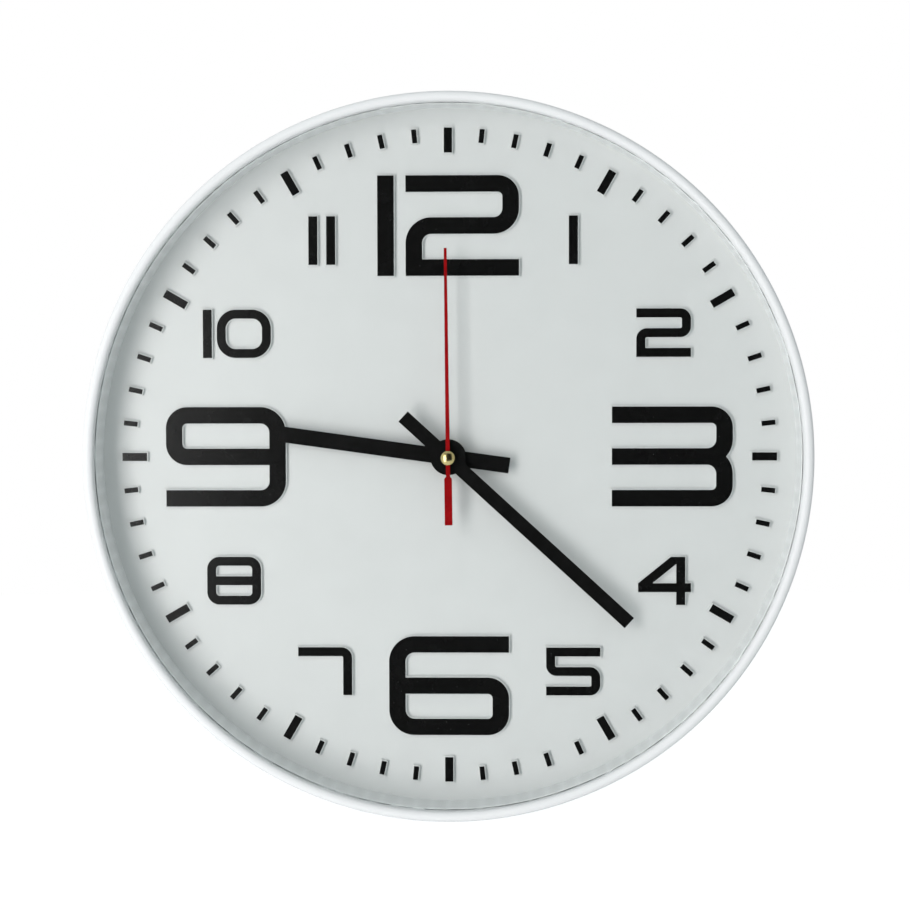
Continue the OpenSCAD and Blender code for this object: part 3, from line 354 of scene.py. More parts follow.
@dataclass(frozen=True)
class Lacquer:
    """Sprayed lacquer on stamped aluminium, with a fine orange peel."""

    name: str
    colour: Colour
    roughness: float = 0.2
    spread: Range = (-0.02, 0.02)
    matt_size: float = 2 * MM
    cloud_size: float = 5 * MM
    cloud_shade: float = 1.25
    cloud_lift: float = 0.001
    peel_size: float = 0.35 * MM
    peel_depth: float = 0.0015 * MM
    ior: float = 1.25

    def make(self) -> bpy.types.Material:
        """Writes the material.

        Returns:
            The material.
        """
        g = Graph(self.name)
        pale = tuple(c * self.cloud_shade + self.cloud_lift for c in self.colour)
        colour = g.blend(g.ranged(g.noise(self.cloud_size, 5.0)), self.colour, pale)
        rough = g.uneven(g.noise(self.matt_size, 4.0), self.roughness, self.spread)
        peel = g.relief(g.noise(self.peel_size, 2.0), self.peel_depth)
        return g.done(g.surface(Base_Color=colour, Roughness=rough, Normal=peel, IOR=self.ior))


@dataclass(frozen=True)
class TurnedMetal:
    """Metal turned on a lathe about the clock's axis, tarnished in places."""

    name: str
    colour: Colour
    tarnish: Colour
    roughness: float = 0.2
    spread: Range = (-0.03, 0.06)
    tarnish_size: float = 1.6 * MM
    tarnish_share: float = 0.6
    ring_pitch: float = 0.09 * MM
    ring_depth: float = 0.0003 * MM

    def make(self) -> bpy.types.Material:
        """Writes the material.

        Returns:
            The material.
        """
        g = Graph(self.name)
        clouds = g.ranged(g.noise(self.tarnish_size, 5.0), (0.42, 0.78), (0.0, self.tarnish_share))
        colour = g.blend(clouds, self.colour, self.tarnish)
        rings = g.rings(self.ring_pitch)
        rough = g.uneven(rings, self.roughness, self.spread)
        cut = g.relief(rings, self.ring_depth)
        return g.done(g.surface(Base_Color=colour, Metallic=1.0, Roughness=rough, Normal=cut))


@dataclass(frozen=True)
class PlatedMetal:
    """Rolled and plated sheet or wire: faint streaks along X and a scatter of stains."""

    name: str
    colour: Colour
    stain: Colour
    roughness: float = 0.3
    spread: Range = (-0.08, 0.12)
    streak_width: float = 0.12 * MM
    streak_length: float = 25
    streak_shade: float = 0.86
    streak_depth: float = 0.0012 * MM
    stain_size: float = 4 * MM
    stain_share: float = 0.7

    def make(self) -> bpy.types.Material:
        """Writes the material.

        Returns:
            The material.
        """
        g = Graph(self.name)
        streaks = g.noise(self.streak_width, 2.0, g.drawn_out(self.streak_length))
        plating = g.blend(streaks, self.colour, shaded(self.colour, self.streak_shade))
        stains = g.ranged(g.noise(self.stain_size, 5.0), (0.5, 0.8), (0.0, self.stain_share))
        colour = g.blend(stains, plating, self.stain)
        rough = g.uneven(streaks, self.roughness, self.spread)
        drawn = g.relief(streaks, self.streak_depth)
        return g.done(g.surface(Base_Color=colour, Metallic=1.0, Roughness=rough, Normal=drawn))


@dataclass(frozen=True)
class ClearGlass:
    """Clear window glass that lets the lamps' light straight through to the dial.

    Seen directly, it reflects and bends light as glass does, on the way in and on the way out.
    """

    name: str
    colour: Colour = (0.99, 1.0, 0.997)
    smear_size: float = 45 * MM
    smear_share: float = 0.012
    smear_shade: float = 0.96
    ior: float = 1.5

    def make(self) -> bpy.types.Material:
        """Writes the material.

        Returns:
            The material.
        """
        g = Graph(self.name)
        smears = g.ranged(g.noise(self.smear_size, 5.0), (0.5, 0.8), (0.0, self.smear_share))
        tint = g.blend(smears, self.colour, shaded(self.colour, self.smear_shade))
        pane = g.surface(Base_Color=tint, Transmission_Weight=1.0, Roughness=0.0, IOR=self.ior)
        clear = g.add("BsdfTransparent", {0: with_alpha(self.colour)})
        path = g.add("LightPath").outputs
        outside = pane
        for ray in ("Is Shadow Ray", "Is Diffuse Ray", "Is Glossy Ray"):
            outside = g.add("MixShader", {0: path[ray], 1: outside.outputs[0], 2: clear.outputs[0]})
        inside = g.add("Math", {0: path["Transmission Depth"], 1: 2.0}, operation="MODULO").outputs[0]
        return g.done(g.add("MixShader", {0: inside, 1: outside.outputs[0], 2: pane.outputs[0]}))


@dataclass(frozen=True)
class CircuitBoard:
    """Solder mask over copper tracks, with tinned pads."""

    name: str
    mask: Colour = (0.016, 0.12, 0.05)
    track: Colour = (0.04, 0.24, 0.09)
    tin: Colour = (0.55, 0.56, 0.54)
    roughness: Range = (0.26, 0.4)
    matt_size: float = 0.6 * MM
    track_width: float = 0.22 * MM
    track_length: float = 3.4 * MM
    track_pitch: float = 1.3 * MM
    track_height: float = 0.03 * MM
    pad_pitch: float = 2.6 * MM
    pad_share: float = 0.17

    def make(self) -> bpy.types.Material:
        """Writes the material.

        Returns:
            The material.
        """
        g = Graph(self.name)
        turned = g.add("Mapping", {"Vector": g.at, "Rotation": (math.pi / 2, 0, 0)}).outputs[0]
        layout = {"Mortar Size": self.track_width, "Brick Width": self.track_length}
        layout |= {"Row Height": self.track_pitch, "Scale": 1.0, "Mortar Smooth": 0.1}
        tracks = g.add("TexBrick", {"Vector": turned, **layout}).outputs["Fac"]
        pads = g.specks(self.pad_pitch, self.pad_share)
        colour = g.blend(pads, g.blend(tracks, self.mask, self.track), self.tin)
        raised = g.relief(tracks, self.track_height)
        rough = g.ranged(g.noise(self.matt_size, 3.0), given=self.roughness)
        return g.done(g.surface(Base_Color=colour, Metallic=pads, Roughness=rough, Normal=raised))


@dataclass(frozen=True)
class WoundWire:
    """Fine enamelled wire, wound in close turns along X, with painted shade darkening the grooves between
    turns.
    """

    name: str
    colour: Colour = (0.62, 0.23, 0.09)
    pale: Colour = (0.75, 0.34, 0.14)
    painted_groove_shade: float = 0.3
    cloud_size: float = 1.2 * MM
    pitch: float = 0.16 * MM
    waver: float = 0.6
    wire_depth: float = 0.05 * MM
    metallic: float = 0.9
    roughness: Range = (0.22, 0.38)
    matt_size: float = 0.5 * MM

    def make(self) -> bpy.types.Material:
        """Writes the material.

        Returns:
            The material.
        """
        g = Graph(self.name)
        turns = g.bands(self.pitch, Axis.X, self.waver)
        enamel = g.blend(g.noise(self.cloud_size, 4.0), self.colour, self.pale)
        # Painted shade: the grooves between turns are coloured darker, standing in for the shade that falls
        # in them.
        colour = g.blend(turns, shaded(self.colour, self.painted_groove_shade), enamel)
        relief = g.relief(turns, self.wire_depth)
        rough = g.ranged(g.noise(self.matt_size, 3.0), given=self.roughness)
        return g.done(g.surface(Base_Color=colour, Metallic=self.metallic, Roughness=rough, Normal=relief))


@dataclass(frozen=True)
class ShrinkSleeve:
    """A battery's printed shrink sleeve: a dark field and a metallic end."""

    name: str
    field_colour: Colour = (0.012, 0.03, 0.085)
    end_colour: Colour = (0.62, 0.42, 0.16)
    end_starts: float = 13 * MM
    end_fade: float = 0.2 * MM
    shine: Range = (0.15, 0.85)
    ink_size: float = 0.3 * MM
    wrinkle_size: float = 1.1 * MM
    wrinkle_length: float = 3
    wrinkle_depth: float = 0.02 * MM
    roughness: Range = (0.2, 0.32)
    matt_size: float = 3 * MM

    def make(self) -> bpy.types.Material:
        """Writes the material.

        Returns:
            The material.
        """
        g = Graph(self.name)
        along = g.add("SeparateXYZ", {0: g.at}).outputs["X"]
        end = g.ranged(along, (self.end_starts, self.end_starts + self.end_fade))
        ink = g.noise(self.ink_size, 2.0)
        field = g.blend(ink, self.field_colour, shaded(self.field_colour, 1.3))
        gold = g.blend(ink, self.end_colour, shaded(self.end_colour, 0.85))
        shine = g.ranged(end, (0, 1), self.shine)
        wrinkles = g.noise(self.wrinkle_size, 3.0, g.drawn_out(self.wrinkle_length))
        relief = g.relief(wrinkles, self.wrinkle_depth)
        rough = g.ranged(g.noise(self.matt_size, 4.0), given=self.roughness)
        colour = g.blend(end, field, gold)
        return g.done(g.surface(Base_Color=colour, Metallic=shine, Roughness=rough, Normal=relief))


FINISHES = {
    Slot.CASE: MouldedPlastic(
        "white satin moulding", (0.70, 0.715, 0.725), roughness=0.55, clouds=0.008, cloud_size=35 * MM,
        grain_size=0.9 * MM,
    ),
    # The dial's wall, beyond 145.3 mm from the axis, gets a paler colour: painted light against the shade
    # inside the rim.
    Slot.DIAL: MouldedPlastic(
        "off-white satin moulding", (0.635, 0.645, 0.645), roughness=0.37, clouds=0.012, cloud_size=14 * MM,
        grain_size=0.7 * MM, grain_depth=0.008 * MM, painted_light_colour=(0.84, 0.855, 0.86), painted_light_from=145.3 * MM,
    ),
    Slot.LENS: ClearGlass("clear glass"),
    Slot.FOIL: StampedFoil("black hot-stamped foil", (0.005, 0.005, 0.005)),
    Slot.HAND: Lacquer("black lacquer", (0.0045, 0.0045, 0.0045)),
    Slot.SECONDS: Lacquer("red lacquer", (0.24, 0.0015, 0.0025)),
    Slot.BRASS: TurnedMetal("turned brass", (0.46, 0.39, 0.18), tarnish=(0.26, 0.18, 0.07)),
    Slot.STEEL: PlatedMetal("zinc-plated steel", (0.64, 0.65, 0.66), stain=(0.40, 0.38, 0.33)),
    Slot.MOVEMENT: MouldedPlastic(
        "black textured moulding", (0.018, 0.018, 0.019), roughness=0.52, clouds=0.15, cloud_size=9 * MM,
        grain_size=0.45 * MM, grain_depth=0.02 * MM, dust_share=0.06,
    ),
    Slot.GEAR: MouldedPlastic(
        "ivory acetal", (0.78, 0.74, 0.63), roughness=0.42, clouds=0.03, cloud_size=3 * MM,
        grain_size=0.3 * MM, grain_depth=0.003 * MM,
    ),
    Slot.RUBBER: MouldedPlastic(
        "black rubber", (0.014, 0.014, 0.015), roughness=0.72, clouds=0.2, cloud_size=5 * MM,
        grain_size=0.35 * MM, grain_depth=0.03 * MM, dust_share=0.12,
    ),
    Slot.BOARD: CircuitBoard("green circuit board"),
    Slot.COPPER: WoundWire("enamelled copper wire"),
    Slot.MAGNET: MouldedPlastic(
        "sintered magnet", (0.07, 0.07, 0.075), roughness=0.5, clouds=0.3, cloud_size=0.8 * MM,
        grain_size=0.12 * MM, grain_depth=0.01 * MM,
    ),
    Slot.CELL: TurnedMetal(
        "nickel-plated can", (0.70, 0.69, 0.66), tarnish=(0.45, 0.43, 0.38), roughness=0.22
    ),
    Slot.SLEEVE: ShrinkSleeve("printed shrink sleeve"),
}


# ---- Shapes ----


class Lathe:
    """A section drawn by radius and distance out, and turned about the clock's axis."""

    def __init__(self, radius: float, out: float) -> None:
        """Starts the section at a point."""
        self.bm = bmesh.new()
        self.first = self.last = self.bm.verts.new((radius, -out, 0))

    def to(self, *points: tuple[float, float]) -> "Lathe":
        """Draws straight stretches.

        Args:
            points: Radius and distance out of each next point.

        Returns:
            This lathe.
        """
        for radius, out in points:
            corner = self.bm.verts.new((radius, -out, 0))
            self.bm.edges.new((self.last, corner))
            self.last = corner
        return self

    def round(self, radius: float, out: float, angle: float, steps: int) -> "Lathe":
        """Draws an arc.

        Args:
            radius: Radius of the arc's centre from the axis.
            out: Distance out of the arc's centre.
            angle: Degrees turned, positive from the outside towards the front.
            steps: Straight stretches in the arc.

        Returns:
            This lathe.
        """
        arc = bmesh.ops.spin(
            self.bm, geom=[self.last], cent=(radius, -out, 0), axis=(0, 0, 1), angle=-math.radians(angle),
            steps=steps,
        )
        self.last = next(v for v in arc["geom_last"] if isinstance(v, bmesh.types.BMVert))
        return self

    def closed(self) -> "Lathe":
        """Joins the section's end to its start."""
        self.bm.edges.new((self.last, self.first))
        return self

    def turned(self, steps: int) -> bmesh.types.BMesh:
        """Turns the section all the way round.

        Args:
            steps: Flats in the round.

        Returns:
            The closed skin, its faces outwards.
        """
        section = self.bm.verts[:] + self.bm.edges[:]
        bmesh.ops.spin(self.bm, geom=section, axis=(0, 1, 0), angle=2 * math.pi, steps=steps, use_merge=True)
        bmesh.ops.remove_doubles(self.bm, verts=self.bm.verts, dist=0.001 * MM)
        bmesh.ops.dissolve_degenerate(self.bm, edges=self.bm.edges, dist=0.0001 * MM)
        bmesh.ops.recalc_face_normals(self.bm, faces=self.bm.faces)
        return self.bm

    def sector(self, start: float, angle: float, steps: int) -> bmesh.types.BMesh:
        """Turns a closed section part of the way round.

        Args:
            start: Degrees from the right-hand side where the sector begins.
            angle: Degrees turned.
            steps: Flats in the sector.

        Returns:
            The closed skin, its faces outwards.
        """
        first = bmesh.ops.contextual_create(self.bm, geom=self.bm.edges[:])["faces"]
        bmesh.ops.spin(
            self.bm, geom=first, axis=(0, 1, 0), angle=math.radians(angle), steps=steps, use_duplicate=False
        )
        bmesh.ops.rotate(self.bm, cent=(0, 0, 0), matrix=rotation(start, Axis.Y), verts=self.bm.verts)
        bmesh.ops.recalc_face_normals(self.bm, faces=self.bm.faces)
        return self.bm


def rotation(degrees: float, about: Axis) -> Matrix:
    """The rotation about an axis by some degrees."""
    return Matrix.Rotation(math.radians(degrees), 3, about.value)


def between(low: float, high: float) -> EdgeTest:
    """A test for edges that lie wholly between two distances out, in metres."""
    slack = 0.001 * MM
    return lambda edge: all(low - slack <= -v.co.y <= high + slack for v in edge.verts)


def outward(edge: bmesh.types.BMEdge) -> bool:
    """Whether an edge stands out, rather than lies at the bottom of a hole or in a corner."""
    return edge.is_convex


def copied(node: str) -> bmesh.types.BMesh:
    """A copy of a CAD node whose loose triangles are merged and whose flat faces are whole.

    Args:
        node: The CAD node to copy.

    Returns:
        The closed skin.
    """
    bm = bmesh.new()
    bm.from_mesh(frame["nodes"][node].data)
    bmesh.ops.remove_doubles(bm, verts=bm.verts, dist=0.002 * MM)
    bmesh.ops.dissolve_limit(bm, angle_limit=math.radians(1), verts=bm.verts, edges=bm.edges)
    return bm


def eased(
    bm: bmesh.types.BMesh,
    width: float,
    segments: int = 2,
    where: EdgeTest | None = None,
    sharper: float = 30,
) -> bmesh.types.BMesh:
    """Rounds the sharp edges of a skin.

    Args:
        bm: The skin.
        width: Width of the rounding in metres.
        segments: Flats across the rounding.
        where: Which edges to take. None takes all of them.
        sharper: The least angle of a sharp edge, in degrees.

    Returns:
        The same skin.
    """
    sharp = [e for e in bm.edges if e.is_manifold and e.calc_face_angle() > math.radians(sharper)]
    bmesh.ops.bevel(
        bm,
        geom=[e for e in sharp if where is None or where(e)],
        offset=width,
        offset_type="OFFSET",
        segments=segments,
        profile=0.5,
        affect="EDGES",
        clamp_overlap=False,
        material=-1,
    )
    return bm


class Workshop:
    """Turns skins into finished pieces, and keeps one material of each finish."""

    def __init__(self) -> None:
        """Makes every finish once."""
        self.materials = {slot: finish.make() for slot, finish in FINISHES.items()}
        record = frame["record"]
        self.slots = {part["node"]: Slot(part["material_slot"]) for part in record["subparts"]}
        self.bodies = {n: body for body, nodes in record["behaviour"]["bodies"].items() for n in nodes}

    def piece(self, bm: bmesh.types.BMesh, name: str, node: str, crease: float = 38) -> None:
        """Makes a piece that stands for a CAD node, and rides and is finished as it is.

        Args:
            bm: The piece's skin, in place.
            name: The piece's name.
            node: The CAD node it stands for.
            crease: The least angle, in degrees, that stays a crease.
        """
        mesh = bpy.data.meshes.new(name)
        bm.to_mesh(mesh)
        bm.free()
        made = bpy.data.objects.new(name, mesh)
        bpy.context.scene.collection.objects.link(made)
        mesh.shade_smooth()
        mesh.set_sharp_from_angle(angle=math.radians(crease))
        weighted = made.modifiers.new("even shading", "WEIGHTED_NORMAL")
        weighted.keep_sharp = True
        slot, body = self.slots[node], self.bodies[node]
        mesh.materials.append(self.materials[slot])
        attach(made, body)
        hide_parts(node)
        log.info("%s: %d faces, on %s, %s", name, len(mesh.polygons), body, slot.value)


@dataclass
class Case:
    """The white ring: straight sides, a half-round bead in front and snap ledges inside."""

    radius: float = 150 * MM
    rear_radius: float = 149.2 * MM
    seat_radius: float = 147.4 * MM
    bead_radius: float = 2.15 * MM
    bead_out: float = 42.85 * MM
    bead_flats: int = 14
    lip_out: float = 40.15 * MM
    flats: int = 256
    edge: float = 0.35 * MM
    ledges: int = 8
    ledge_out: float = 17.98 * MM
    ledge_slope: float = 3.5 * MM
    ledge_radius: float = 146.2 * MM
    ledge_root: float = 0.4 * MM
    ledge_angle: float = 10.0
    ledge_flats: int = 6
    ledge_edge: float = 0.15 * MM

    def build(self, shop: Workshop) -> None:
        """Makes the case.

        Args:
            shop: The workshop that finishes it.
        """
        ring = (
            Lathe(self.seat_radius, 0)
            .to((self.rear_radius, 0), (self.radius, self.bead_out))
            .round(self.radius - self.bead_radius, self.bead_out, 180, self.bead_flats)
            .to((self.radius - 2 * self.bead_radius, self.lip_out), (self.seat_radius, self.lip_out))
            .closed()
            .turned(self.flats)
        )
        eased(ring, self.edge, 3, sharper=50)
        for i in range(self.ledges):
            merge(ring, self.ledge(360 / self.ledges * i - self.ledge_angle / 2))
        shop.piece(ring, "case_shell", "frame")

    def ledge(self, start: float) -> bmesh.types.BMesh:
        """One snap ledge, rooted in the case's wall.

        Args:
            start: Degrees from the right-hand side where it begins.

        Returns:
            The ledge's skin.
        """
        root = self.seat_radius + self.ledge_root
        foot = self.ledge_out - self.ledge_slope
        section = Lathe(root, self.ledge_out).to(
            (self.ledge_radius, self.ledge_out), (self.seat_radius, foot), (root, foot)
        )
        return eased(section.closed().sector(start, self.ledge_angle, self.ledge_flats), self.ledge_edge)


def merge(into: bmesh.types.BMesh, other: bmesh.types.BMesh) -> None:
    """Adds one skin to another and frees it.

    Args:
        into: The skin that grows.
        other: The skin that is used up.
    """
    mesh = bpy.data.meshes.new("joined")
    other.to_mesh(mesh)
    other.free()
    into.from_mesh(mesh)
    bpy.data.meshes.remove(mesh)


@dataclass
class Lens:
    """The flat glass, its edge ground round."""

    radius: float = 147.1 * MM
    back: float = 38.15 * MM
    front: float = 40.15 * MM
    ground: float = 0.3 * MM
    margin: float = 1.5 * MM
    flats: int = 192

    def build(self, shop: Workshop) -> None:
        """Makes the glass. A narrow margin keeps the ground edge's shading off the flat faces.

        Args:
            shop: The workshop that finishes it.
        """
        inner = self.radius - self.margin
        disc = Lathe(0, self.back).to(
            (inner, self.back), (self.radius, self.back), (self.radius, self.front), (inner, self.front),
            (0, self.front),
        )
        shop.piece(eased(disc.turned(self.flats), self.ground, 3, sharper=60), "lens", "glass")


@dataclass
class Dial:
    """The moulded dial with its raised figures and the foil on them."""

    face: float = 20.25 * MM
    figures: float = 22 * MM
    figure_edge: float = 0.2 * MM
    edge: float = 0.25 * MM
    foil_edge: float = 0.05 * MM

    def build(self, shop: Workshop) -> None:
        """Makes the dial and its foils.

        Args:
            shop: The workshop that finishes them.
        """
        in_relief = between(self.face, self.figures)
        moulding = copied("dial")
        eased(moulding, self.figure_edge, where=between(self.figures, self.figures))
        eased(moulding, self.edge, where=lambda edge: not in_relief(edge))
        shop.piece(moulding, "dial_moulding", "dial")
        foils = {f"numeral_{hour}": f"foil_{hour}" for hour in range(1, 13)}
        foils |= {"hour_marks": "foil_hour_marks", "minute_marks": "foil_minute_marks"}
        for node, name in foils.items():
            shop.piece(eased(copied(node), self.foil_edge), name, node)


@dataclass
class Hands:
    """The three hands, their bushes and the brass cap."""

    hand_edge: float = 0.09 * MM
    needle_edge: float = 0.05 * MM
    bush_edge: float = 0.08 * MM
    cap_radius: float = 3.0 * MM
    cap_back: float = 33.25 * MM
    cap_front: float = 35.95 * MM
    cap_dome: float = 0.9 * MM
    cap_edge: float = 0.3 * MM

    def build(self, shop: Workshop) -> None:
        """Makes the hands.

        Args:
            shop: The workshop that finishes them.
        """
        for hand in ("hour_hand", "minute_hand"):
            shop.piece(eased(copied(hand), self.hand_edge, 3), f"{hand}_blade", hand)
        shop.piece(eased(copied("second_hand"), self.needle_edge), "second_hand_needle", "second_hand")
        for bush in ("hour_hand_bush", "minute_hand_bush", "second_hand_bush"):
            shop.piece(eased(copied(bush), self.bush_edge), f"{bush}_ring", bush)
        shop.piece(self.cap(), "second_hand_button", "second_hand_cap")

    def cap(self) -> bmesh.types.BMesh:
        """The domed cap, eased where the dome meets its side.

        Returns:
            The cap's skin.
        """
        edge = self.cap_front - self.cap_dome
        sphere = (self.cap_radius**2 + self.cap_dome**2) / (2 * self.cap_dome)
        lean = math.degrees(math.asin(self.cap_radius / sphere))
        section = (
            Lathe(0, self.cap_back)
            .to((self.cap_radius, self.cap_back), (self.cap_radius, edge))
            .round(0, self.cap_front - sphere, lean, 12)
        )
        return eased(section.turned(64), self.cap_edge, 4, sharper=25)


@dataclass
class Movement:
    """The movement's case, its cover and knob, and what clamps it to the dial."""

    shell_edge: float = 0.2 * MM
    knob_edge: float = 0.1 * MM
    rubber_edge: float = 0.25 * MM
    washer_edge: float = 0.12 * MM
    nut_edge: float = 0.3 * MM

    def build(self, shop: Workshop) -> None:
        """Makes the movement's outer pieces.

        Args:
            shop: The workshop that finishes them.
        """
        shell = {"movement_case": "movement_tray", "movement_cover": "movement_lid"}
        for node, name in shell.items():
            shop.piece(eased(copied(node), self.shell_edge, where=outward), name, node)
        knob = eased(copied("setting_knob"), self.knob_edge, where=outward)
        shop.piece(knob, "setting_wheel", "setting_knob")
        shop.piece(eased(copied("rubber_washer"), self.rubber_edge, 3), "rubber_ring", "rubber_washer")
        shop.piece(eased(copied("flat_washer"), self.washer_edge), "brass_washer", "flat_washer")
        shop.piece(eased(copied("hex_nut"), self.nut_edge, 3), "brass_nut", "hex_nut")


@dataclass
class Inside:
    """The electrics, the coil and the wheels inside the movement."""

    tooth_edge: float = 0.03 * MM
    edges: tuple[tuple[str, float], ...] = (
        ("positive_contact", 0.06 * MM),
        ("negative_contact", 0.06 * MM),
        ("circuit_board", 0.1 * MM),
        ("chip", 0.2 * MM),
        ("crystal", 0.12 * MM),
        ("coil_bobbin", 0.1 * MM),
        ("coil_winding", 0.3 * MM),
        ("coil_core", 0.06 * MM),
        ("stator", 0.08 * MM),
        ("rotor_magnet", 0.15 * MM),
    )
    wheels: tuple[str, ...] = (
        "rotor_pinion", "intermediate_wheel", "seconds_wheel", "third_wheel", "centre_wheel",
        "minute_arbor", "motion_wheel", "hour_wheel",
    )

    def build(self, shop: Workshop) -> None:
        """Makes the inner pieces.

        Args:
            shop: The workshop that finishes them.
        """
        for node, edge in self.edges:
            shop.piece(eased(copied(node), edge), f"{node}_piece", node)
        shop.piece(copied("contact_spring"), "contact_spring_wire", "contact_spring", crease=50)
        for node in self.wheels:
            shop.piece(eased(copied(node), self.tooth_edge, 1), f"{node}_gear", node)


@dataclass
class Battery:
    """The cell and its sleeve."""

    can_edge: float = 0.35 * MM
    sleeve_edge: float = 0.05 * MM

    def build(self, shop: Workshop) -> None:
        """Makes the battery.

        Args:
            shop: The workshop that finishes it.
        """
        shop.piece(eased(copied("battery_cell"), self.can_edge, 3), "cell_can", "battery_cell")
        shop.piece(eased(copied("battery_sleeve"), self.sleeve_edge), "cell_sleeve_tube", "battery_sleeve")


@dataclass
class Hanger:
    """The keyhole plate and its two screws."""

    edge: float = 0.15 * MM

    def build(self, shop: Workshop) -> None:
        """Makes the hanger.

        Args:
            shop: The workshop that finishes it.
        """
        shop.piece(eased(copied("hanger_plate"), self.edge), "keyhole_plate", "hanger_plate")
        shop.piece(eased(copied("hanger_screws"), self.edge), "plate_screws", "hanger_screws")


def direction(azimuth: float, elevation: float) -> Vector:
    """The way from the clock to a point round it.

    Args:
        azimuth: Degrees to the right of straight in front, negative to the left.
        elevation: Degrees above the clock's axis.

    Returns:
        A vector of length one.
    """
    a, e = math.radians(azimuth), math.radians(elevation)
    return Vector((math.sin(a) * math.cos(e), -math.cos(a) * math.cos(e), math.sin(e)))


@dataclass(frozen=True)
class Lamp:
    """A soft panel that faces the clock, with its width and height, and its direction in degrees."""

    name: str
    watts: float
    size: tuple[float, float]
    distance: float
    azimuth: float
    elevation: float
    colour: Colour = (1.0, 1.0, 1.0)

    def hang(self) -> None:
        """Adds the lamp to the scene."""
        data = bpy.data.lights.new(self.name, "AREA")
        data.shape = "RECTANGLE"
        data.size, data.size_y = self.size
        data.energy = self.watts
        data.color = self.colour
        made = bpy.data.objects.new(self.name, data)
        bpy.context.scene.collection.objects.link(made)
        way = direction(self.azimuth, self.elevation)
        made.location = way * self.distance
        made.rotation_mode = "QUATERNION"
        made.rotation_quaternion = way.to_track_quat("Z", "Y")


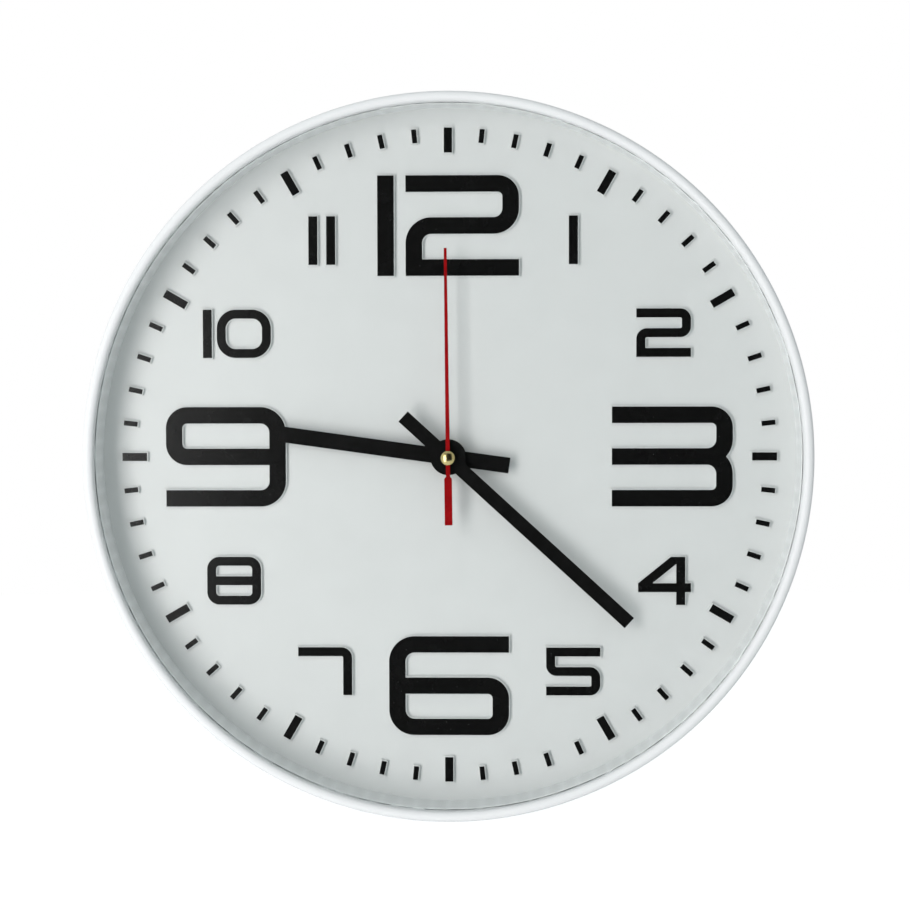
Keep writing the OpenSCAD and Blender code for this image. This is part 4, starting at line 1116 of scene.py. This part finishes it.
@dataclass
class Studio:
    """A white room: the floor, the lamps, a dark card behind the camera, and the camera."""

    look_at: Point = (2.68 * MM, -22.15 * MM, 0.68 * MM)
    distance: float = 0.95
    azimuth: float = 1.48
    elevation: float = 2.605
    roll: float = -0.12
    lens: float = 89.7
    lamps: tuple[Lamp, ...] = (
        Lamp(
            "key", watts=11.6, size=(0.42, 1.3), distance=1.3, azimuth=-27, elevation=-4,
            colour=(1.0, 0.955, 0.945),
        ),
        Lamp("side", watts=3, size=(0.5, 1.2), distance=1.4, azimuth=-88, elevation=0),
    )
    ambient: Colour = (0.66, 0.705, 0.71)
    ambient_left: float = 1.1
    ambient_right: float = 0.78
    floor_z: float = -0.9
    floor_radius: float = 8
    floor_glow: float = 0.5
    card_size: tuple[float, float] = (3.0, 2.6)
    card_out: float = 1.9
    card_sheen: float = 0.3
    card_sheen_x: Range = (-0.24, -0.5)

    def build(self) -> None:
        """Sets the room up."""
        self.room()
        self.floor()
        self.card()
        for lamp in self.lamps:
            lamp.hang()
        self.camera()

    def room(self) -> None:
        """A white surround, whose light falls off a little towards the right."""
        world = bpy.data.worlds.new("white room")
        bpy.context.scene.world = world
        world.use_nodes = True
        t = Tree(world.node_tree)
        path = t.add("LightPath").outputs
        seen = t.larger(path["Is Camera Ray"], path["Is Glossy Ray"])
        seen = t.larger(seen, path["Is Transmission Ray"])
        across = t.add("SeparateXYZ", {0: t.add("TexCoord").outputs["Generated"]}).outputs["X"]
        ends = {"From Min": -1.0, "To Min": self.ambient_left, "To Max": self.ambient_right}
        fall = t.add("MapRange", {"Value": across, **ends}).outputs[0]
        dim = t.add("Background", {"Color": with_alpha(self.ambient), "Strength": fall})
        white = t.add("Background", {"Color": (1.0, 1.0, 1.0, 1.0)})
        shown = t.add("MixShader", {0: seen, 1: dim.outputs[0], 2: white.outputs[0]})
        t.add("OutputWorld", {"Surface": shown.outputs[0]})

    def staged(
        self, bm: bmesh.types.BMesh, name: str, material: bpy.types.Material
    ) -> bpy.types.Object:
        """Makes an object that belongs to the room.

        Args:
            bm: Its skin, in place.
            name: Its name.
            material: Its material.

        Returns:
            The object.
        """
        mesh = bpy.data.meshes.new(name)
        bm.to_mesh(mesh)
        bm.free()
        mesh.materials.append(material)
        made = bpy.data.objects.new(name, mesh)
        bpy.context.scene.collection.objects.link(made)
        return made

    def floor(self) -> None:
        """A pale floor well below the clock, which keeps the clock's shadow."""
        g = Graph("pale floor")
        worn = g.blend(g.noise(0.4, 3.0), (0.86, 0.865, 0.87), (0.89, 0.89, 0.89))
        path = g.add("LightPath").outputs
        seen = g.larger(path["Is Camera Ray"], path["Is Glossy Ray"])
        strength = g.ranged(seen, (0, 1), (0, self.floor_glow))
        glow = g.add("Emission", {0: (1, 1, 1, 1), "Strength": strength})
        lit = g.add("BsdfDiffuse", {"Color": worn})
        both = g.add("AddShader", {0: lit.outputs[0], 1: glow.outputs[0]})
        bm = bmesh.new()
        bmesh.ops.create_circle(bm, cap_ends=True, radius=self.floor_radius, segments=64)
        bmesh.ops.translate(bm, vec=(0, 0, self.floor_z), verts=bm.verts)
        self.staged(bm, "floor", g.done(both))

    def card(self) -> None:
        """A card behind the camera, dark to the glass and the metal, and as pale as the room to the rest.

        The left of the card shines a little, so the glass does too.
        """
        g = Graph("dark card")
        colour = g.blend(g.noise(0.1, 2.0), (0.008, 0.008, 0.008), (0.012, 0.012, 0.012))
        along = g.add("SeparateXYZ", {0: g.at}).outputs[0]
        strength = g.ranged(along, self.card_sheen_x, (0, self.card_sheen))
        sheen = g.add("Emission", {0: (1, 1, 1, 1), "Strength": strength})
        dark = g.surface(Base_Color=colour, Roughness=0.9, Specular_IOR_Level=0.0)
        pale = g.add("Emission", {0: with_alpha(self.ambient), "Strength": 1.0})
        both = g.add("AddShader", {0: dark.outputs[0], 1: sheen.outputs[0]})
        matt = g.add("LightPath").outputs["Is Diffuse Ray"]
        shown = g.add("MixShader", {0: matt, 1: both.outputs[0], 2: pale.outputs[0]})
        width, height = self.card_size
        bm = bmesh.new()
        bmesh.ops.create_grid(bm, x_segments=1, y_segments=1, size=0.5)
        bmesh.ops.scale(bm, vec=(width, height, 1.0), verts=bm.verts)
        bmesh.ops.rotate(bm, cent=(0, 0, 0), matrix=rotation(90, Axis.X), verts=bm.verts)
        bmesh.ops.translate(bm, vec=(0.0, -self.card_out, self.floor_z + height / 2), verts=bm.verts)
        made = self.staged(bm, "dark_card", g.done(shown))
        made.visible_camera = False

    def camera(self) -> None:
        """The camera, a little to the right of and above the clock's axis."""
        data = bpy.data.cameras.new("camera")
        data.lens = self.lens
        data.sensor_width = 36.0
        data.clip_start, data.clip_end = 0.01, 50.0
        made = bpy.data.objects.new("camera", data)
        bpy.context.scene.collection.objects.link(made)
        way = direction(self.azimuth, self.elevation)
        made.location = Vector(self.look_at) + way * self.distance
        made.rotation_mode = "QUATERNION"
        upright = way.to_track_quat("Z", "Y")
        made.rotation_quaternion = upright @ Quaternion((0, 0, 1), math.radians(self.roll))
        bpy.context.scene.camera = made


def main() -> None:
    """Builds the clock's pieces in order, then the studio round them."""
    logging.basicConfig(level=logging.INFO, format="%(message)s", force=True)
    scene = bpy.context.scene
    scene.view_settings.view_transform = "Standard"
    shop = Workshop()
    for part in (Case(), Lens(), Dial(), Hands(), Movement(), Inside(), Battery(), Hanger()):
        part.build(shop)
    Studio().build()


if __name__ == "__main__":
    main()
